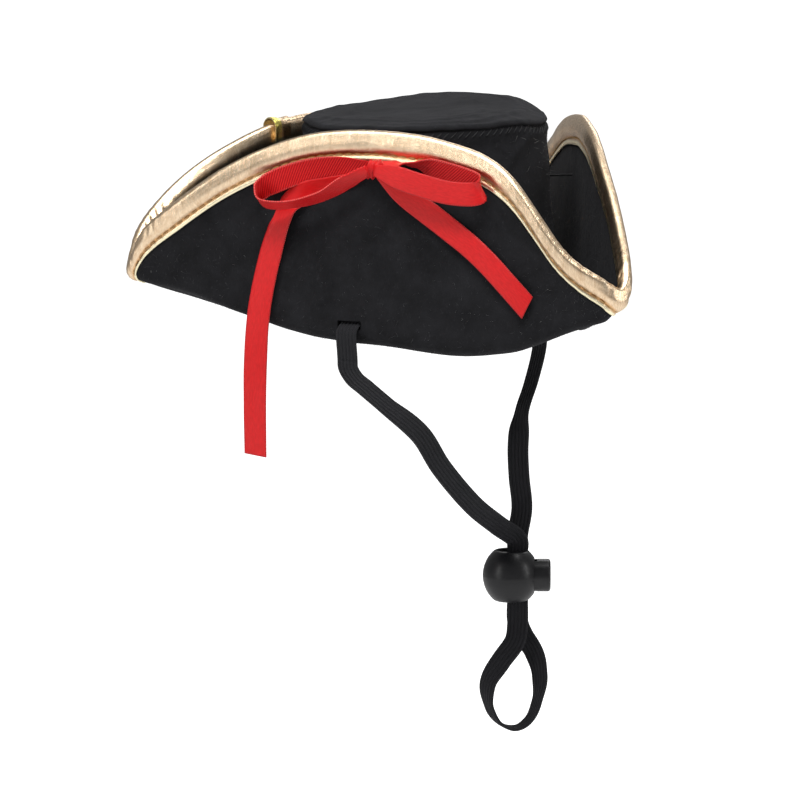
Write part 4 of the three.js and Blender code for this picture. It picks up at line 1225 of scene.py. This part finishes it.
def build_bow():
    out, up = FLAP_OUT, Z
    ahead = np.cross(Z, FLAP_OUT)  # towards the front corner, t growing
    rear_loop = build_ribbon(
        "bow_rear_loop", "bow_right_loop",
        [(0.2, 55.6, 3.2), (-4, 55.6, 2.6), (-11, 55.2, 1.9), (-20, 53.6, 1.7),
         (-28, 50.9, 2.2), (-32.6, 48.3, 3.4), (-33.8, 46.2, 4.9), (-32.0, 44.3, 6.1),
         (-23, 44.3, 7.0), (-13, 47.2, 6.8), (-5.5, 51.8, 5.8), (0.2, 55.0, 4.6)],
        [-out, -out + 0.1 * up, -out + 0.15 * up, -out + 0.12 * up, -out - 0.25 * ahead, -0.5 * out - ahead,
         0.3 * out - ahead - 0.3 * up, 0.5 * out - 0.4 * ahead - 0.9 * up, 0.38 * out - 0.93 * up,
         0.42 * out - 0.9 * up, 0.6 * out - 0.75 * up, out - 0.5 * up],
        [0.55, 0.85, 1, 1, 1, 1, 1, 1, 0.9, 0.5], [0.3, 0.2, 0.2, 0.1, 0, 0, 0, 0.1, 0.2, 0.4],
    )
    front_loop = build_ribbon(
        "bow_front_loop", "bow_left_loop",
        [(2.4, 56.0, 3.2), (7, 56.6, 2.6), (13, 56.8, 2.2), (21, 55.6, 2.0),
         (29, 53.9, 2.2), (34.2, 52.6, 3.0), (36.3, 51.4, 4.2), (35.2, 50.2, 5.6),
         (27.5, 49.9, 6.8), (16.5, 52.0, 6.9), (8.5, 54.0, 6.2), (2.4, 55.2, 4.8)],
        [0.7 * out + 0.7 * up, 0.5 * out + up, -0.4 * out + up, -out + 0.25 * up, -out + 0.15 * up,
         -0.7 * out + 0.8 * ahead, 0.2 * out + ahead, out + 0.3 * ahead,
         out - 0.05 * up, out - 0.05 * up, out, out],
        [0.5, 0.8, 1, 1, 1, 1, 1, 1, 0.95, 0.5], [0.3, 0.2, 0.1, 0.1, 0, 0, 0, 0.15, 0.2, 0.3],
    )
    rear_tail = build_ribbon(
        "bow_rear_tail", "bow_right_tail",
        [(-1.5, 54.4, 1.6), (-6, 51.6, 1.2), (-13, 49.3, 1.1), (-20, 47.4, 1.1),
         (-25.0, 44.2, 1.0), (-27.6, 39.5, 0.9), (-31.5, 27, 1.0), (-34.6, 11, 1.3),
         (-35.6, -4, 1.6), (-36.0, -18, 1.1), (-36.0, -32, 0.7)],
        [out, out - 0.35 * up, out - 0.45 * up, out - 0.2 * up, out - 0.5 * ahead, out - 0.45 * ahead,
         out - 0.1 * ahead, out, out + 0.12 * ahead, out, out - 0.06 * ahead],
        [0.4, 0.85, 0.95, 1, 1, 1, 1, 1, 1, 1], [0.4, 0.2, 0.1, 0, 0.05, 0.1, 0.1, 0.1, 0.1, 0.1],
        skew=-0.12,
    )
    front_tail = build_ribbon(
        "bow_front_tail", "bow_left_tail",
        [(3.0, 53.6, 2.2), (6.5, 50.6, 1.7), (11, 47.3, 1.2), (18, 42.9, 1.0), (25, 38.2, 1.1),
         (31, 34.1, 1.3), (37, 29.2, 1.6), (43.5, 22.9, 1.9), (49.5, 16.6, 1.6)],
        [out + 0.6 * ahead, out + 0.15 * ahead, out + 0.05 * up, out + 0.08 * up, out + 0.12 * up,
         out + 0.05 * up, out, out - 0.05 * up, out],
        [0.4, 0.85, 1, 1, 1, 1, 1, 1], [0.5, 0.3, 0.2, 0.15, 0.15, 0.15, 0.2, 0.2], skew=0.35,
    )


def build_knot():
    """The ribbon pulled tight round the middle of the bow, gathered into folds."""
    around, rows = 72, 40
    centre = on_flap(1.4 * MM, 55.3 * MM, 2.9 * MM)
    ahead = np.cross(Z, FLAP_OUT)
    points = []
    for c in range(around):
        angle = 2 * math.pi * c / around
        for r in range(rows):
            share = -1 + 2 * (r + 0.5) / rows
            girth = (1 - abs(share) ** 3.2) ** 0.5
            folds = 0.13 * math.sin(5.5 * share * 2.2 + 1.1 * math.sin(angle) + 0.7)
            folds += 0.10 * math.sin(3 * angle + 4 * share)
            radius_out = 2.3 * MM * girth * (1 + folds)
            radius_up = 2.75 * MM * girth * (1 + 0.8 * folds)
            lean = 0.7 * MM * math.sin(angle)
            points.append(centre + ahead * (share * 2.75 * MM + lean)
                          + FLAP_OUT * radius_out * math.cos(angle) + Z * radius_up * math.sin(angle))
    faces = grid_faces(around, rows, closed_columns=True)
    first, last = len(points), len(points) + 1
    points += [centre - ahead * 2.8 * MM, centre + ahead * 2.8 * MM]
    for c in range(around):
        d = (c + 1) % around
        faces.append((first, d * rows, c * rows))
        faces.append((last, c * rows + rows - 1, d * rows + rows - 1))
    uv = [((v // rows) * 0.25 if v < first else 0, (v % rows) * 0.2 if v < first else 0)
          for f in faces for v in f]
    piece = make_piece("bow_knot_wrap", points, faces, [SATIN], uv=uv)
    stand_in(piece, "bow_knot")

    stitches = []
    for k in range(5):
        tilt = math.pi * k / 5
        arm = (math.cos(tilt) * ahead + math.sin(tilt) * Z) * 1.1 * MM
        spot = on_flap(1.5 * MM, 56 * MM, -FELT - 0.15 * MM)
        stitches.append(stitch(spot - arm, spot + arm, -FLAP_OUT * 0.45 * MM, 0.2 * MM))
    stitches.append(tube([on_flap(1.5 * MM, 56 * MM, s * MM) for s in (-2.0, -0.5, 0.6)], 0.4 * MM, 8))
    tack = make_piece("bow_tack_stitches", *join_shapes(stitches), [BLACK_THREAD])
    stand_in(tack, "bow_tack")


# ---------- cord lock ----------
def lathe(profile, segments):
    """A solid turned about Z from (radius, height) points that start and end on the axis."""
    points = []
    inner = profile[1:-1]
    for k in range(segments):
        angle = 2 * math.pi * k / segments
        points += [(r * math.cos(angle), r * math.sin(angle), z) for r, z in inner]
    rows = len(inner)
    faces = grid_faces(segments, rows, closed_columns=True)
    bottom, top = len(points), len(points) + 1
    points += [(0, 0, profile[0][1]), (0, 0, profile[-1][1])]
    for k in range(segments):
        n = (k + 1) % segments
        faces.append((bottom, n * rows, k * rows))
        faces.append((top, k * rows + rows - 1, n * rows + rows - 1))
    return points, faces


def placed(shape, axis_x=False):
    """The shape in the lock's place. With axis_x it is first laid so that its axis is the button's."""
    matrix = Matrix.Translation(Vector(LOCK_PLACE)) @ Matrix.Rotation(LOCK_TURN, 4, "Z")
    if axis_x:
        matrix = matrix @ Matrix.Rotation(math.pi / 2, 4, "Y")
    points, faces = shape
    return [np.array(matrix @ Vector(p)) for p in points], faces


def round_rod(radius, start, end):
    return lathe([(0, start), (radius, start), (radius, end), (0, end)], 48)


def build_lock():
    half = BALL_HEIGHT / 2
    flat = math.sqrt(BALL_RADIUS ** 2 - half ** 2) + 1.2 * MM
    tall = half / math.sqrt(1 - (flat / BALL_RADIUS) ** 2)
    round_part = []
    start = math.asin((half - 0.15 * MM) / tall)
    for k in range(41):
        angle = -start + 2 * start * k / 40
        parting = 0.05 * MM * math.exp(-(angle / 0.02) ** 2)
        round_part.append(((BALL_RADIUS + parting) * math.cos(angle), tall * math.sin(angle)))
    profile = [(0, -half), (flat * 0.5, -half), (flat - 0.2 * MM, -half)] + round_part
    profile += [(flat - 0.2 * MM, half), (flat * 0.5, half), (0, half)]
    body = make_piece("lock_ball", *placed(lathe(profile, 96)), [PLASTIC])
    passage = rounded_slot(PASSAGE, 30 * MM)
    passage = ([Vector(p) + Vector((PASSAGE_OFFSET, 0, 0)) for p in passage[0]], passage[1])
    shapes = [placed(passage), placed(round_rod(5.3 * MM, -5.2 * MM, 20 * MM), True),
              placed(round_rod(3.1 * MM, -7.1 * MM, 0), True)]
    for way in (1, -1):
        cup, faces = lathe([(0, -1)] + [(math.cos(a), math.sin(a)) for a in np.linspace(-1.5, 1.5, 15)]
                           + [(0, 1)], 40)
        cup = [(p[0] * 5.0 * MM - 0.1 * MM, p[1] * 3.4 * MM, p[2] * 2.6 * MM + way * (half + 0.6 * MM))
               for p in cup]
        shapes.append(placed((cup, faces)))
    cut_away(body, shapes, 32)
    stand_in(body, "lock_body", "cord_lock")

    wide, reach, rim, back = BUTTON_RADIUS, BUTTON_REACH, BUTTON_RIM, BUTTON_BACK
    outline = [(0, back), (wide - 0.3 * MM, back), (wide, back + 0.3 * MM), (wide, reach - rim)]
    for k in range(1, 7):
        angle = math.pi / 2 * k / 6
        outline.append((wide - rim + rim * math.cos(angle), reach - rim + rim * math.sin(angle)))
    outline += [(3.4 * MM, reach), (3.1 * MM, reach - 0.18 * MM), (0, reach - 0.22 * MM)]
    button = make_piece("lock_button_cap", *placed(lathe(outline, 64), True), [PLASTIC])
    slot_start, slot_end = -1.5 * MM, 7.9 * MM
    slot = box_shape(np.array([(slot_start + slot_end) / 2, 0, 0]),
                     (slot_end - slot_start, PASSAGE[1], 20 * MM), 0)
    cut_away(button, [placed(slot)], 32)
    stand_in(button, "lock_plunger", "lock_button")

    turns, start, end = 3, -6.4 * MM, -3.2 * MM
    coil = []
    for k in range(turns * 24 + 1):
        angle = 2 * math.pi * k / 24
        coil.append((SPRING_RADIUS * math.cos(angle), SPRING_RADIUS * math.sin(angle),
                     start + (end - start) * k / (turns * 24)))
    spring = make_piece("lock_coil_spring", *placed(tube(coil, SPRING_WIRE, 8), True), [STEEL])
    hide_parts("lock_spring")
    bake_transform(spring)
    return [body, button, spring]


def rounded_slot(size, length, steps=8):
    """A prism along Z with rounded short ends, as points and faces."""
    half, radius = size[0] / 2, size[1] / 2
    outline = []
    for way in (1, -1):
        for k in range(steps + 1):
            angle = -math.pi / 2 + math.pi * k / steps
            outline.append((way * (half - radius + radius * math.cos(angle)), way * radius * math.sin(angle)))
    points = [(x, y, z) for z in (-length / 2, length / 2) for x, y in outline]
    count = len(outline)
    faces = [(k, (k + 1) % count, count + (k + 1) % count, count + k) for k in range(count)]
    faces += [tuple(reversed(range(count))), tuple(range(count, 2 * count))]
    return points, faces


# ---------- loose fibres on the felt ----------
def fibre(root, way, bend, length, width):
    """A thin curved strand, three-sided."""
    route = [root + way * length * s + bend * length * s * s for s in (0, 0.35, 0.7, 1)]
    return tube(route, [width, width, width * 0.8, width * 0.3], 3)


def build_fibres(name, grids, count, lengths, width, stand, material, weight=None):
    """Strands that lie along or stand off the felt. stand is how upright they are, from 0 to 1."""
    strands = []
    while len(strands) < count:
        grid, out = random.choice(grids)
        c = random.randrange(grid.shape[0])
        r = random.randrange(2, grid.shape[1] - 1)
        root = grid[c, r] + out[c, r] * 0.01 * MM
        if weight is not None and random.random() > weight(root):
            continue
        flat = unit(np.cross(out[c, r], np.array([random.gauss(0, 1) for _ in range(3)])))
        bend = np.array([random.gauss(0, 0.35) for _ in range(3)])
        upright = stand * random.random()
        way = unit(flat * (1 - upright) + out[c, r] * (upright + 0.05))
        bend -= out[c, r] * min(0.0, float(bend @ out[c, r]))
        strands.append(fibre(root, way, bend, random.uniform(*lengths), width * random.uniform(0.7, 1.3)))
    piece = make_piece(name, *join_shapes(strands), [material])
    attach(piece, "hat")


def felt_edge_weight(p):
    """Most of the pale lint is caught at the crown's edge on the far right, by the notch."""
    spot = from_side(35 * MM, 6 * MM, 60 * MM)
    return 0.015 + 0.985 * math.exp(-(float(np.linalg.norm(p - spot)) / (9 * MM)) ** 2)


# ---------- assembly ----------
build_camera()
build_light()
build_floor()
elastic_parts = build_elastic()
lock_parts = build_lock()

grid = brim_grid()
out = normals_of(grid)
brim = build_brim(grid, out)
crown_side, crown_outer, crown_out = build_crown_side()
crown_tip = build_crown_tip()
build_crown_seams(crown_outer, crown_out)
edge_columns = build_binding(grid, out)
build_binding_stitches(edge_columns)
build_binding_end(edge_columns)
build_tacks()
build_bow()
build_knot()

brim_face = (grid[:, :-9] + out[:, :-9] * FELT / 2, out[:, :-9])
brim_back = (grid[:, :-9] - out[:, :-9] * FELT / 2, -out[:, :-9])
crown_face = (crown_outer, crown_out)
build_fibres("felt_nap", [brim_face, brim_face, brim_back, crown_face], 5200, (0.5 * MM, 1.6 * MM),
             0.022 * MM, 0.8, DARK_FIBRE)
build_fibres("felt_lint", [crown_face], 170, (0.5 * MM, 1.7 * MM), 0.018 * MM, 0.9, PALE_FIBRE,
             felt_edge_weight)
build_fibres("felt_specks", [brim_face, crown_face], 220, (0.3 * MM, 0.9 * MM), 0.014 * MM, 0.15,
             PALE_FIBRE)
